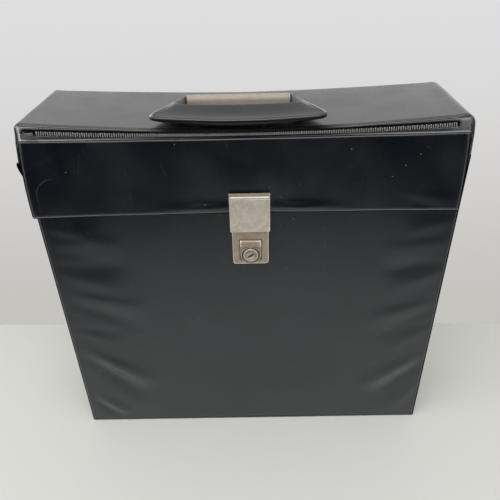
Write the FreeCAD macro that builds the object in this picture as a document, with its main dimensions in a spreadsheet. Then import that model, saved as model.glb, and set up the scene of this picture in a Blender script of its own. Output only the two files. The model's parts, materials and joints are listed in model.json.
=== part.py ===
import FreeCAD, Part
import os
import re
import Sketcher

# A carrying case for twelve-inch records, of heat-sealed vinyl over board. Its lid holds a zipped
# pocket and a folding handle, and a hasp on the lid's front flap closes on a lock with a slide
# button. Millimetres: +X is the right of the case seen from the front, +Y the back, +Z up.
# The origin is the centre of the base.

SIZES = {
    # Case
    "body_width": 352,
    "body_depth": 94,
    "rim_height": 308,
    "back_rise": 17.2,
    "cover_thick": 0.8,
    "board_thick": 2.4,
    "lining_thick": 0.4,
    "seam_width": 1.2,
    "hinge_gap": 0.15,
    "strip_drop": 25,
    # Lid
    "lid_rise": 13.3,
    "lid_gap": 0.5,
    "top_sag": 7.5,
    "top_board_thick": 1.2,
    "top_board_gap": 0.1,
    "top_overhang": 0.4,
    # Front flap
    "fold_inset": 3,
    "hem_flare": 1,
    "flap_length": 66.4,
    "flap_board_thick": 1.8,
    "flap_gap": 0.4,
    # Zip
    "zip_left_margin": 13,
    "zip_right_margin": 10,
    "zip_rise": 2.7,
    "zip_sag": 4.4,
    "teeth_height": 3.2,
    "teeth_depth": 1.2,
    "slot_gap": 0.4,
    "slot_end": 2.5,
    "tape_lap": 0.4,
    "tape_thick": 0.6,
    "stop_length": 1.6,
    "slider_length": 7,
    "slider_lap": 0.5,
    "slider_thick": 0.8,
    "slider_gap": 0.3,
    "pull_length": 9,
    "pull_height": 3,
    "pull_thick": 0.6,
    "pull_hole": 0.7,
    "pull_hole_inset": 1.4,
    "ear_radius": 0.6,
    "ear_gap": 0.05,
    # Handle
    "handle_shift": 4.8,
    "bracket_length": 85,
    "bracket_height": 13.8,
    "bracket_thick": 1.2,
    "flange_width": 5.5,
    "axle_radius": 3,
    "axle_gap": 0.3,
    "arm_gap": 0.8,
    "hub_width": 3.7,
    "hub_wall": 1.6,
    "wall_above": 1.7,
    "wall_below": 2.1,
    "grip_reach": 46.5,
    "grip_width": 18.5,
    "crest_width": 2,
    "edge_height": 3.2,
    "tip_spread": 21.9,
    "tip_bow": 10.5,
    "top_tip_inset": 13,
    "top_tip_step": 12,
    "inner_bow": 3.5,
    "inner_tuck": 2.3,
    "shoulder_step": 8,
    "shoulder_spread": 8.3,
    "handle_plate_thick": 1,
    "handle_rivet_inset": 10.5,
    "rivet_radius": 1.6,
    "rivet_head_radius": 2.6,
    "rivet_head_thick": 0.9,
    # Hasp
    "latch_shift": 2.7,
    "hasp_width": 33.6,
    "hasp_length": 34.9,
    "hasp_thick": 1.1,
    "hasp_corner": 0.8,
    "hasp_bevel": 0.35,
    "pin_rise": 19.5,
    "pin_radius": 1.1,
    "pin_gap": 0.1,
    "roll_wall": 1,
    "roll_gap": 0.2,
    "ear_thick": 1.2,
    "leaf_thick": 1,
    "leaf_length": 15.8,
    "leaf_rivet_rise": 5.5,
    "leaf_rivet_inset": 7.8,
    "striker_rise": 7.1,
    "neck_radius": 1.8,
    "head_radius": 3.4,
    "head_thick": 1,
    "striker_end_gap": 0.4,
    # Lock
    "tray_inset": 1.1,
    "tray_clearance": 2.2,
    "tray_length": 46.6,
    "tray_gap": 0.3,
    "tray_wall": 1,
    "tray_corner": 2.5,
    "tray_bevel": 0.7,
    "notch_gap": 1,
    "lock_base_thick": 1,
    "lock_rivet_inset": 4.8,
    "slide_travel": 4,
    "slide_gap": 0.1,
    "button_width": 18.2,
    "button_length": 23.8,
    "button_gap": 2.4,
    "button_thick": 1.7,
    "button_corner": 1.5,
    "lip_height": 5.8,
    "lip_thick": 1.3,
    "lip_bevel": 0.6,
    "stem_width": 8,
    "stem_height": 11,
    "bolt_thick": 1.4,
    "bolt_width": 12,
    "bolt_set_back": 1.2,
    "fork_gap": 0.7,
    "fork_depth": 5.5,
    "cylinder_inset": 9.8,
    "cylinder_radius": 8,
    "cylinder_rise": 0.9,
    "ring_step": 1.7,
    "ring_rise": 0.7,
    "plug_radius": 3.5,
    "plug_gap": 0.05,
    "plug_rise": 0.3,
    "key_slot_inset": 0.7,
    "key_slot_width": 1.3,
    "key_slot_depth": 2,
    "key_slot_angle": 35,
    # How far a cutting shape runs past what it cuts
    "overrun": 2,
}

# Sizes worked out from the ones above, each from those before it
WORKED_OUT = {
    "hinge_height": "(rim_height + back_rise)",
    "lid_height": "(hinge_height + lid_rise)",
    "flap_top_width": "(body_width - 2*fold_inset)",
    "flap_bottom_width": "(body_width + 2*hem_flare)",
    "flap_bottom": "(hinge_height - flap_length)",
    "zip_left": "(flap_top_width/2 - zip_left_margin)",
    "zip_right": "(flap_top_width/2 - zip_right_margin)",
    "slot_height": "(teeth_height + 2*slot_gap)",
    "tape_height": "(slot_height + 2*tape_lap)",
    "slider_height": "(teeth_height + 2*slider_lap)",
    "flange_reach": "(axle_radius + axle_gap + bracket_thick + flange_width)",
    "handle_rivet_spread": "(bracket_length/2 - handle_rivet_inset)",
    "handle_rivet_offset": "(flange_reach - flange_width/2)",
    "arm_inner": "(bracket_length/2 + arm_gap)",
    "hub_half_width": "(arm_inner + hub_width)",
    "hub_radius": "(axle_radius + hub_wall)",
    "grip_rise": "(axle_radius + wall_above)",
    "grip_drop": "(axle_radius + wall_below)",
    "tip_half_width": "(hub_half_width + tip_spread)",
    "tip_reach": "(grip_reach - tip_bow)",
    "top_front_inset": "(grip_width - crest_width)",
    "inner_reach": "(grip_reach - grip_width)",
    "inner_corner_reach": "(inner_reach - inner_bow)",
    "inner_half_width": "(arm_inner - inner_tuck)",
    "shoulder_reach": "(inner_corner_reach - shoulder_step)",
    "shoulder_half_width": "(arm_inner + shoulder_spread)",
    "pin_height": "(flap_bottom + pin_rise)",
    "roll_radius": "(pin_radius + pin_gap + roll_wall)",
    "leaf_bottom": "(pin_height - leaf_length)",
    "leaf_rivet_height": "(leaf_bottom + leaf_rivet_rise)",
    "leaf_rivet_spread": "(hasp_width/2 - leaf_rivet_inset)",
    "hasp_bottom": "(pin_height - hasp_length)",
    "striker_height": "(hasp_bottom + striker_rise)",
    "tray_width": "(hasp_width - 2*tray_inset)",
    "tray_top": "(flap_bottom - tray_clearance)",
    "tray_bottom": "(tray_top - tray_length)",
    "lock_rivet_low": "(tray_bottom + lock_rivet_inset)",
    "lock_rivet_high": "(tray_top - lock_rivet_inset)",
    "lock_rivet_spread": "(tray_width/2 - lock_rivet_inset)",
    "button_top": "(hasp_bottom - slide_travel - button_gap)",
    "button_bottom": "(button_top - button_length)",
    "cylinder_height": "(button_bottom + cylinder_inset)",
    "ring_radius": "(cylinder_radius - ring_step)",
    "key_slot_length": "(2*plug_radius - 2*key_slot_inset)",
}

doc = FreeCAD.newDocument("record_case")
sheet = doc.addObject("Spreadsheet::Sheet", "sizes")
for row, (alias, size) in enumerate(SIZES.items(), start=1):
    sheet.set(f"A{row}", alias)
    sheet.set(f"B{row}", str(size))
    sheet.setAlias(f"B{row}", alias)
doc.recompute()

ALIAS = re.compile("|".join(rf"\b{alias}\b" for alias in SIZES))
PARTS = []


def cells(formula):
    """A formula in the sheet's names, as the document writes it."""
    for name, meaning in reversed(WORKED_OUT.items()):
        formula = re.sub(rf"\b{name}\b", meaning, formula)
    return ALIAS.sub(lambda found: "sizes." + found.group(), formula)


def bind(thing, name, formula):
    thing.setExpression(name, cells(formula))


def number(formula):
    return float(PROBE.evalExpression(cells(formula)))


PROBE = doc.addObject("App::FeaturePython", "probe")


# Places that several pieces share, each a formula in the sheet's names

FRONT = "(-body_depth/2)"
BACK = "(body_depth/2)"
SIDE = "(body_width/2 - seam_width)"
FRONT_BOARD = f"({FRONT} + cover_thick)"
BACK_BOARD = f"({BACK} - cover_thick)"
SIDE_BOARD = f"({SIDE} - cover_thick)"
FRONT_LINING = f"({FRONT_BOARD} + board_thick)"
BACK_LINING = f"({BACK_BOARD} - board_thick)"
SIDE_LINING = f"({SIDE_BOARD} - board_thick)"
FLOOR_LINING = "(cover_thick + board_thick)"
BACK_TOP = "(hinge_height - hinge_gap)"
HINGE_FACE = f"({BACK} + cover_thick)"

LID_SIDE = "(body_width/2)"
LID_BOARD = f"({LID_SIDE} - cover_thick)"
LID_INNER = f"({LID_BOARD} - board_thick)"
LID_BASE = "(hinge_height + hinge_gap)"
LID_FLOOR = f"({LID_BASE} + lining_thick)"
POCKET_FLOOR = f"({LID_FLOOR} + board_thick)"
LID_BACK = f"({BACK} - board_thick)"
SKIRT_BOTTOM = "(rim_height + lid_gap)"
SKIRT_BACK = f"({BACK_LINING} - lining_thick - flap_gap)"

FLAP_INNER = f"({FRONT} - flap_gap)"
FLAP_BACK = f"({FLAP_INNER} - lining_thick)"
FLAP_FRONT = f"({FLAP_BACK} - flap_board_thick - cover_thick)"
BAND_BACK = f"({FLAP_BACK} - tape_thick)"
BAND_FRONT = f"({BAND_BACK} - cover_thick)"
TEETH_FRONT = f"({BAND_BACK} - teeth_depth)"
TOP_FRONT = f"({BAND_FRONT} - top_overhang)"

TOP_RADIUS = "((body_width^2/4 + top_sag^2)/(2*top_sag))"
TOP_CENTRE = f"(lid_height - top_sag + {TOP_RADIUS})"
ZIP_RADIUS = "((zip_right^2 + zip_sag^2)/(2*zip_sag))"
ZIP_CENTRE = f"(hinge_height + zip_rise + {ZIP_RADIUS})"


def top_height(across, depth="0"):
    """The height of the sagging top, or of the arc a depth below it, at a place across the lid."""
    return f"({TOP_CENTRE} - sqrt(({TOP_RADIUS} + {depth})^2 - ({across})^2))"


SKIRT_TOP = top_height(LID_INNER, "cover_thick")


def zip_height(across):
    """The height of the middle of the zip's teeth at a place across the lid."""
    return f"({ZIP_CENTRE} - sqrt({ZIP_RADIUS}^2 - ({across})^2))"


HANDLE_X = "(-handle_shift)"
BRACKET_SEAT = top_height("handle_shift + bracket_length/2")
AXLE_OUTER = "(axle_radius + axle_gap + bracket_thick)"
AXLE_Z = f"({BRACKET_SEAT} + bracket_height - {AXLE_OUTER})"

LATCH_X = "latch_shift"
PIN_Y = f"({FLAP_FRONT} - roll_gap - roll_radius)"
HASP_FRONT = f"({PIN_Y} - roll_radius)"
HASP_BACK = f"({HASP_FRONT} + hasp_thick)"
TRAY_FRONT = f"({HASP_BACK} + tray_gap)"
TRAY_INNER = f"({TRAY_FRONT} + tray_wall)"
BASE_FRONT = f"({FRONT} - lock_base_thick)"
HEAD_BACK = f"({BASE_FRONT} - striker_end_gap)"
HEAD_FRONT = f"({HEAD_BACK} - head_thick)"
BUTTON_BACK = f"({TRAY_FRONT} - slide_gap)"
BUTTON_FRONT = f"({BUTTON_BACK} - button_thick)"
BOLT_FRONT = f"({TRAY_INNER} + bolt_set_back)"
BOLT_BACK = f"({BOLT_FRONT} + bolt_thick)"
CYLINDER_FRONT = f"({BUTTON_FRONT} - cylinder_rise - ring_rise)"


# Ways of making a piece

def keep(piece, label):
    """Names a finished piece, which is written to a file of that name."""
    piece.Label = label
    PARTS.append(piece)
    return piece


def box(low, high):
    """A block between two corners, each three formulas."""
    block = doc.addObject("Part::Box", "block")
    for axis, length, start, end in zip("xyz", ("Length", "Width", "Height"), low, high):
        bind(block, length, f"{end} - ({start})")
        bind(block, f"Placement.Base.{axis}", start)
    return block


TURNS = {
    "x": FreeCAD.Rotation(FreeCAD.Vector(0, 1, 0), 90),
    "y": FreeCAD.Rotation(FreeCAD.Vector(1, 0, 0), -90),
    "z": FreeCAD.Rotation(),
}


def rod(start, along, length, radius):
    """A cylinder that starts at a point, three formulas, and runs along +x, +y or +z."""
    cylinder = doc.addObject("Part::Cylinder", "rod")
    cylinder.Placement = FreeCAD.Placement(FreeCAD.Vector(), TURNS[along])
    for axis, formula in zip("xyz", start):
        bind(cylinder, f"Placement.Base.{axis}", formula)
    bind(cylinder, "Radius", radius)
    bind(cylinder, "Height", length)
    return cylinder


def fuse(pieces):
    joined = doc.addObject("Part::MultiFuse", "joined")
    joined.Shapes = pieces
    return joined


def cut(blank, tools):
    """A blank with each of the tools taken out of it."""
    for tool in tools:
        left = doc.addObject("Part::Cut", "trimmed")
        left.Base = blank
        left.Tool = tool
        blank = left
    return blank


def common(first, second):
    shared = doc.addObject("Part::MultiCommon", "shared")
    shared.Shapes = [first, second]
    return shared


def group(pieces):
    together = doc.addObject("Part::Compound", "together")
    together.Links = pieces
    return together


def new_body(label):
    body = doc.addObject("PartDesign::Body", label)
    PARTS.append(body)
    return body


def new_sketch(body, role, level):
    """An empty sketch parallel to one of the body's own planes, moved along its normal."""
    sketch = body.newObject("Sketcher::SketchObject", "outline")
    plane = next(item for item in body.Origin.OriginFeatures if item.Role == role)
    sketch.AttachmentSupport = [(plane, "")]
    sketch.MapMode = "FlatFace"
    bind(sketch, "AttachmentOffset.Base.z", level)
    return sketch


def pin_point(sketch, edge, end, place):
    """Holds one end of an edge at a place, two formulas."""
    for kind, formula in zip(("DistanceX", "DistanceY"), place):
        link = Sketcher.Constraint(kind, -1, 1, edge, end, number(formula))
        index = sketch.addConstraint(link)
        bind(sketch, f"Constraints[{index}]", formula)


def outline(body, role, level, corners):
    """A closed outline of straight edges through corners, each two formulas."""
    sketch = new_sketch(body, role, level)
    points = [FreeCAD.Vector(number(across), number(up), 0) for across, up in corners]
    following = points[1:] + points[:1]
    for start, end in zip(points, following):
        sketch.addGeometry(Part.LineSegment(start, end))
    for edge, corner in enumerate(corners):
        sketch.addConstraint(Sketcher.Constraint("Coincident", edge, 2, (edge + 1) % len(corners), 1))
        pin_point(sketch, edge, 1, corner)
    return sketch


def bowed_outline(body, role, level, corners, middle):
    """A closed outline whose last edge is an arc through a middle point."""
    sketch = new_sketch(body, role, level)
    points = [FreeCAD.Vector(number(across), number(up), 0) for across, up in corners]
    crown = FreeCAD.Vector(number(middle[0]), number(middle[1]), 0)
    for start, end in zip(points[:-1], points[1:]):
        sketch.addGeometry(Part.LineSegment(start, end))
    arc = len(points) - 1
    sketch.addGeometry(Part.Arc(points[-1], crown, points[0]))
    ends = [sketch.getPoint(arc, end) for end in (1, 2)]
    first, last = (1, 2) if (ends[0] - points[0]).Length < (ends[1] - points[0]).Length else (2, 1)
    for edge in range(arc - 1):
        sketch.addConstraint(Sketcher.Constraint("Coincident", edge, 2, edge + 1, 1))
    sketch.addConstraint(Sketcher.Constraint("Coincident", arc, first, 0, 1))
    sketch.addConstraint(Sketcher.Constraint("Coincident", arc, last, arc - 1, 2))
    for edge, corner in enumerate(corners[:-1]):
        pin_point(sketch, edge, 1, corner)
    pin_point(sketch, arc - 1, 2, corners[-1])
    spot = sketch.addGeometry(Part.Point(crown))
    sketch.toggleConstruction(spot)
    pin_point(sketch, spot, 1, middle)
    sketch.addConstraint(Sketcher.Constraint("PointOnObject", spot, 1, arc))
    return sketch


def circle(body, role, level, centre, radius):
    """A circle about a centre, two formulas."""
    sketch = new_sketch(body, role, level)
    middle = FreeCAD.Vector(number(centre[0]), number(centre[1]), 0)
    sketch.addGeometry(Part.Circle(middle, FreeCAD.Vector(0, 0, 1), number(radius)))
    index = sketch.addConstraint(Sketcher.Constraint("Radius", 0, number(radius)))
    bind(sketch, f"Constraints[{index}]", radius)
    pin_point(sketch, 0, 3, centre)
    return sketch


def grow(body, kind, sketch, length, flipped=False):
    """A Pad or a Pocket of a sketch, over a length along the sketch's normal or against it."""
    feature = body.newObject(f"PartDesign::{kind}", kind)
    feature.Profile = sketch
    bind(feature, "Length", length)
    feature.Reversed = flipped
    doc.recompute()
    return feature


def dress(body, kind, size, chosen):
    """A Fillet or a Chamfer on the edges that a test chooses."""
    base = body.Tip
    names = [f"Edge{index}" for index, edge in enumerate(base.Shape.Edges, start=1) if chosen(edge)]
    feature = body.newObject(f"PartDesign::{kind}", kind)
    feature.Base = (base, names)
    bind(feature, "Radius" if kind == "Fillet" else "Size", size)
    doc.recompute()
    return feature


def level_with(edge, axis, formula):
    """True where both ends of an edge lie at a height along an axis."""
    height = number(formula)
    return all(abs(getattr(end.Point, axis) - height) < CLOSE for end in edge.Vertexes)


def lies_below(edge, axis, formula):
    """True where the middle of an edge is below a height along an axis."""
    return getattr(edge.CenterOfMass, axis) < number(formula) - CLOSE


def runs_along(edge, axis):
    """True for a straight edge along an axis."""
    if len(edge.Vertexes) < 2 or not isinstance(edge.Curve, Part.Line):
        return False
    return abs(getattr(edge.Curve.Direction, axis)) > STRAIGHT_SHARE


CLOSE = 0.001
STRAIGHT_SHARE = 0.999


def turned(steps, start, along):
    """Stacked cylinders along an axis from a point: pairs of a length and a radius."""
    stack = []
    place = dict(zip("xyz", start))
    for length, radius in steps:
        stack.append(rod(list(place.values()), along, length, radius))
        place[along] = f"({place[along]} + {length})"
    return fuse(stack)


# Rivets, and the holes that they fill

LOCK_PLATE_FRONT = f"({FRONT_LINING} + lining_thick)"
LOCK_PLATE_BACK = f"({LOCK_PLATE_FRONT} + lock_base_thick)"
LOCK_SPOTS = [(f"({LATCH_X} {side} lock_rivet_spread)", height)
              for side in "-+" for height in ("lock_rivet_low", "lock_rivet_high")]
LEAF_SPOTS = [f"({LATCH_X} {side} leaf_rivet_spread)" for side in "-+"]
HANDLE_SPOTS = [(f"({HANDLE_X} {side} handle_rivet_spread)", f"(0 {end} handle_rivet_offset)")
                for side in "-+" for end in "-+"]
HANDLE_PLATE = f"({LID_BASE} - handle_plate_thick)"
LEAF_FRONT = f"({FLAP_FRONT} - leaf_thick)"


def rivet(start, along, grip):
    """A rivet whose lower head ends at a point, with its shank through a thickness of material."""
    head = ("rivet_head_thick", "rivet_head_radius")
    foot = dict(zip("xyz", start))
    foot[along] = f"({foot[along]} - rivet_head_thick)"
    return turned([head, (grip, "rivet_radius"), head], list(foot.values()), along)


def lock_rivets():
    grip = f"({LOCK_PLATE_BACK} - ({BASE_FRONT}))"
    keep(group([rivet((x, BASE_FRONT, z), "y", grip) for x, z in LOCK_SPOTS]), "lock_rivets")


def handle_rivets():
    grip = f"({BRACKET_SEAT} + bracket_thick - {HANDLE_PLATE})"
    keep(group([rivet((x, y, HANDLE_PLATE), "z", grip) for x, y in HANDLE_SPOTS]), "handle_rivets")


def hasp_rivets():
    """Their tail heads are sunk in the flap's board."""
    grip = f"({FLAP_BACK} - rivet_head_thick - ({LEAF_FRONT}))"
    keep(group([rivet((x, LEAF_FRONT, "leaf_rivet_height"), "y", grip) for x in LEAF_SPOTS]), "hasp_rivets")


def lock_holes():
    length = f"({LOCK_PLATE_BACK} - ({BASE_FRONT}) + 2*overrun)"
    return [rod((x, f"({BASE_FRONT} - overrun)", z), "y", length, "rivet_radius") for x, z in LOCK_SPOTS]


def handle_holes():
    length = f"(lid_height - {HANDLE_PLATE} + 2*overrun)"
    start = f"({HANDLE_PLATE} - overrun)"
    return [rod((x, y, start), "z", length, "rivet_radius") for x, y in HANDLE_SPOTS]


LOCK_HOLES = lock_holes()
HANDLE_HOLES = handle_holes()


# The case: covers, boards and lining

def covers():
    wide = "body_width/2"
    under_rim = "(rim_height - cover_thick)"
    front = box((f"-{wide}", FRONT, "0"), (wide, FRONT_BOARD, "rim_height"))
    front_cap = box((f"-{SIDE_BOARD}", FRONT_BOARD, under_rim), (SIDE_BOARD, FRONT_LINING, "rim_height"))
    keep(cut(fuse([front, front_cap]), LOCK_HOLES), "front_cover")
    back = box((f"-{wide}", BACK_BOARD, "0"), (wide, BACK, BACK_TOP))
    cap_start = f"({BACK_TOP} - cover_thick)"
    back_cap = box((f"-{SIDE_BOARD}", BACK_LINING, cap_start), (SIDE_BOARD, BACK_BOARD, BACK_TOP))
    keep(fuse([back, back_cap]), "back_cover")
    for label, outer, inner, lining in (
            ("left_cover", f"-{SIDE}", f"-{SIDE_BOARD}", f"-{SIDE_LINING}"),
            ("right_cover", SIDE, SIDE_BOARD, SIDE_LINING)):
        low, high = (outer, inner) if label.startswith("left") else (inner, outer)
        side = box((low, FRONT_BOARD, "cover_thick"), (high, BACK_BOARD, "rim_height"))
        low, high = (inner, lining) if label.startswith("left") else (lining, inner)
        cap = box((low, FRONT_LINING, under_rim), (high, BACK_LINING, "rim_height"))
        keep(fuse([side, cap]), label)
    keep(box((f"-{SIDE}", FRONT_BOARD, "0"), (SIDE, BACK_BOARD, "cover_thick")), "bottom_cover")


def boards():
    top = "(rim_height - cover_thick)"
    bottom = box((f"-{SIDE_BOARD}", FRONT_BOARD, "cover_thick"), (SIDE_BOARD, BACK_BOARD, FLOOR_LINING))
    keep(bottom, "bottom_board")
    front = box((f"-{SIDE_BOARD}", FRONT_BOARD, FLOOR_LINING), (SIDE_BOARD, FRONT_LINING, top))
    keep(cut(front, LOCK_HOLES), "front_board")
    back_top = f"({BACK_TOP} - cover_thick)"
    back = box((f"-{SIDE_BOARD}", BACK_LINING, FLOOR_LINING), (SIDE_BOARD, BACK_BOARD, back_top))
    keep(back, "back_board")
    left = box((f"-{SIDE_BOARD}", FRONT_LINING, FLOOR_LINING), (f"-{SIDE_LINING}", BACK_LINING, top))
    keep(left, "left_board")
    right = box((SIDE_LINING, FRONT_LINING, FLOOR_LINING), (SIDE_BOARD, BACK_LINING, top))
    keep(right, "right_board")


def body_lining():
    """A thin lining of the floor, the sides and the front, which runs on up the taller back."""
    inner_side = f"({SIDE_LINING} - lining_thick)"
    inner_back = f"({BACK_LINING} - lining_thick)"
    outer = box((f"-{SIDE_LINING}", FRONT_LINING, FLOOR_LINING), (SIDE_LINING, BACK_LINING, "rim_height"))
    room = box((f"-{inner_side}", LOCK_PLATE_FRONT, f"({FLOOR_LINING} + lining_thick)"),
               (inner_side, inner_back, "(rim_height + overrun)"))
    back = box((f"-{SIDE_LINING}", inner_back, "rim_height"), (SIDE_LINING, BACK_LINING, BACK_TOP))
    keep(cut(fuse([cut(outer, [room]), back]), LOCK_HOLES), "body_lining")


def hinge_strips():
    """The vinyl hinge: a strip on the back of the case, and its other half on the back of the lid."""
    low = box((f"-{SIDE}", BACK, f"({BACK_TOP} - strip_drop)"), (SIDE, HINGE_FACE, BACK_TOP))
    keep(low, "hinge_strip_case")
    high = box((f"-{LID_SIDE}", BACK, LID_BASE), (LID_SIDE, HINGE_FACE, "lid_height"))
    keep(cut(high, [top_arc("cover_thick")]), "hinge_strip_lid")


# The lid's sagging top, front band and zip, cut from blanks by large cylinders along Y

def long_arc(centre, radius):
    """A cylinder along the whole depth of the lid, centred on the middle of the case."""
    start = f"({TOP_FRONT} - overrun)"
    return rod(("0", start, centre), "y", f"({HINGE_FACE} - {start} + overrun)", radius)


def top_arc(depth):
    """Takes out whatever lies less than a depth below the sagging top, and all above it."""
    return long_arc(TOP_CENTRE, f"({TOP_RADIUS} + {depth})")


def zip_arc(drop):
    return long_arc(ZIP_CENTRE, f"({ZIP_RADIUS} + {drop})")


def zip_strip(left, right, front, back, above, below):
    """A strip that follows the zip, between heights above and below its middle."""
    blank = box((left, front, LID_BASE), (right, back, "lid_height"))
    return cut(common(blank, zip_arc(below)), [zip_arc(f"(0 - {above})")])


def lid_top():
    cover = box((f"-{LID_SIDE}", TOP_FRONT, "hinge_height"), (LID_SIDE, HINGE_FACE, "lid_height"))
    sheet_under = common(cover, top_arc("cover_thick"))
    keep(cut(sheet_under, [top_arc("0")] + HANDLE_HOLES), "lid_top_cover")
    board = box((f"-{LID_INNER}", FLAP_BACK, "hinge_height"), (LID_INNER, LID_BACK, "lid_height"))
    board_top = "(cover_thick + top_board_gap)"
    stiffener = common(board, top_arc(f"({board_top} + top_board_thick)"))
    keep(cut(stiffener, [top_arc(board_top)] + HANDLE_HOLES), "lid_top_board")


def lid_back():
    board = box((f"-{LID_INNER}", LID_BACK, LID_BASE), (LID_INNER, BACK, "lid_height"))
    keep(cut(board, [top_arc("cover_thick")]), "lid_rear_board")


def lid_band():
    """The front wall of the lid's pocket, with the long slot for the zip."""
    half = "flap_top_width/2"
    before = f"({BAND_FRONT} - overrun)"
    behind = f"({BAND_BACK} + overrun)"
    slot = zip_strip("(0 - zip_left - pull_length - slot_end)", "(zip_right + slot_end)", before, behind,
                     "slot_height/2", "slot_height/2")
    blank = box((f"-{half}", BAND_FRONT, LID_BASE), (half, BAND_BACK, "lid_height"))
    keep(cut(blank, [top_arc("cover_thick"), slot]), "lid_front_band")


def zip_parts():
    half = "flap_top_width/2"
    upper = zip_strip(f"-{half}", half, BAND_BACK, FLAP_BACK, "tape_height/2", "0")
    keep(cut(upper, [top_arc("cover_thick")]), "zip_tape_upper")
    lower = zip_strip(f"-{half}", half, BAND_BACK, FLAP_BACK, "0", "tape_height/2")
    keep(lower, "zip_tape_lower")
    half = "teeth_height/2"
    keep(zip_strip("(0 - zip_left)", "zip_right", TEETH_FRONT, BAND_BACK, half, half), "zip_teeth")
    stops = []
    for start in ("zip_right", "(0 - zip_left - slider_length - slider_gap - stop_length)"):
        middle = zip_height(start)
        stops.append(box((start, TEETH_FRONT, f"({middle} - {half})"),
                         (f"({start} + stop_length)", BAND_BACK, f"({middle} + {half})")))
    keep(group(stops), "zip_end_stops")


# The lid's sides, floor and lining

def side_profile(inset):
    """The side of the lid: shallow behind, where it lies over the top of the case's back."""
    bottom = f"({SKIRT_BOTTOM} + {inset})"
    step = f"({LID_BASE} + {inset})"
    heel = f"({SKIRT_BACK} - {inset})"
    return [(FLAP_BACK, bottom), (heel, bottom), (heel, step), (BACK, step), (BACK, SKIRT_TOP),
            (FLAP_BACK, SKIRT_TOP)]


def lid_sides():
    left = ("left", f"(0 - {LID_SIDE})", f"(0 - {LID_BOARD})")
    for side, outside, room in (left, ("right", LID_INNER, LID_INNER)):
        cover = new_body(f"lid_{side}_cover")
        whole = outline(cover, "YZ_Plane", outside, side_profile("0"))
        grow(cover, "Pad", whole, "(cover_thick + board_thick)")
        inner = outline(cover, "YZ_Plane", room, side_profile("cover_thick"))
        grow(cover, "Pocket", inner, "board_thick", flipped=True)
        board = new_body(f"lid_{side}_board")
        filling = outline(board, "YZ_Plane", room, side_profile("cover_thick"))
        grow(board, "Pad", filling, "board_thick")


def lid_floor():
    board = box((f"-{LID_INNER}", FLAP_BACK, LID_FLOOR), (LID_INNER, LID_BACK, POCKET_FLOOR))
    keep(cut(board, HANDLE_HOLES), "pocket_floor_board")


def lid_lining():
    """One thin sheet under the floor, down inside both sides and down behind the front flap."""
    inner = f"({LID_INNER} - lining_thick)"
    floor = box((f"-{LID_INNER}", FLAP_BACK, LID_BASE), (LID_INNER, LID_BACK, LID_FLOOR))
    left = box((f"-{LID_INNER}", FLAP_INNER, SKIRT_BOTTOM), (f"-{inner}", SKIRT_BACK, LID_BASE))
    right = box((inner, FLAP_INNER, SKIRT_BOTTOM), (LID_INNER, SKIRT_BACK, LID_BASE))
    flap = box((f"-{LID_INNER}", FLAP_BACK, "flap_bottom"), (LID_INNER, FLAP_INNER, LID_BASE))
    keep(cut(fuse([floor, left, right, flap]), HANDLE_HOLES), "lid_lining")


def flap_corners(inset):
    """The flap is a little wider at its lower edge than at the fold."""
    low = f"(flap_bottom_width/2 - {inset})"
    high = f"(flap_top_width/2 - {inset})"
    bottom = f"(flap_bottom + {inset})"
    top = f"({LID_BASE} - {inset})"
    return [(f"(0 - {low})", bottom), (low, bottom), (high, top), (f"(0 - {high})", top)]


def flap():
    behind = f"(0 - {FLAP_BACK})"
    thick = "(flap_board_thick + cover_thick)"
    through = f"({thick} + overrun)"
    cover = new_body("flap_cover")
    board = new_body("flap_board")
    grow(cover, "Pad", outline(cover, "XZ_Plane", behind, flap_corners("0")), thick)
    room = outline(cover, "XZ_Plane", behind, flap_corners("cover_thick"))
    grow(cover, "Pocket", room, "flap_board_thick", flipped=True)
    filling = outline(board, "XZ_Plane", behind, flap_corners("cover_thick"))
    grow(board, "Pad", filling, "flap_board_thick")
    for x in LEAF_SPOTS:
        spot = (x, "leaf_rivet_height")
        for body in (cover, board):
            shank = circle(body, "XZ_Plane", behind, spot, "rivet_radius")
            grow(body, "Pocket", shank, through, flipped=True)
        sunk_head = circle(board, "XZ_Plane", behind, spot, "rivet_head_radius")
        grow(board, "Pocket", sunk_head, "rivet_head_thick", flipped=True)


# The zip's slider and pull

SLIDER_BACK = f"({TEETH_FRONT} - slider_gap)"
SLIDER_FRONT = f"({SLIDER_BACK} - slider_thick)"
SLIDER_X = "(0 - zip_left - slider_length/2)"
SLIDER_Z = zip_height(SLIDER_X)
EYE_RADIUS = "(ear_radius + ear_gap + pull_thick)"
EYE_Y = f"({SLIDER_FRONT} - {EYE_RADIUS} - ear_gap)"


def zip_slider():
    """A plate in front of the teeth, with an upright pin held between two lugs."""
    low = f"({SLIDER_Z} - slider_height/2)"
    high = f"({SLIDER_Z} + slider_height/2)"
    start = "(0 - zip_left - slider_length)"
    plate = box((start, SLIDER_FRONT, low), ("(0 - zip_left)", SLIDER_BACK, high))
    pin = rod((SLIDER_X, EYE_Y, low), "z", "slider_height", "ear_radius")
    lug_height = "(slider_height/2 - pull_height/2 - ear_gap)"
    lugs = [box((f"({SLIDER_X} - ear_radius)", f"({EYE_Y} - ear_radius)", start),
                (f"({SLIDER_X} + ear_radius)", SLIDER_FRONT, f"({start} + {lug_height})"))
            for start in (low, f"({high} - {lug_height})")]
    keep(fuse([plate, pin] + lugs), "zip_slider")


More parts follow.
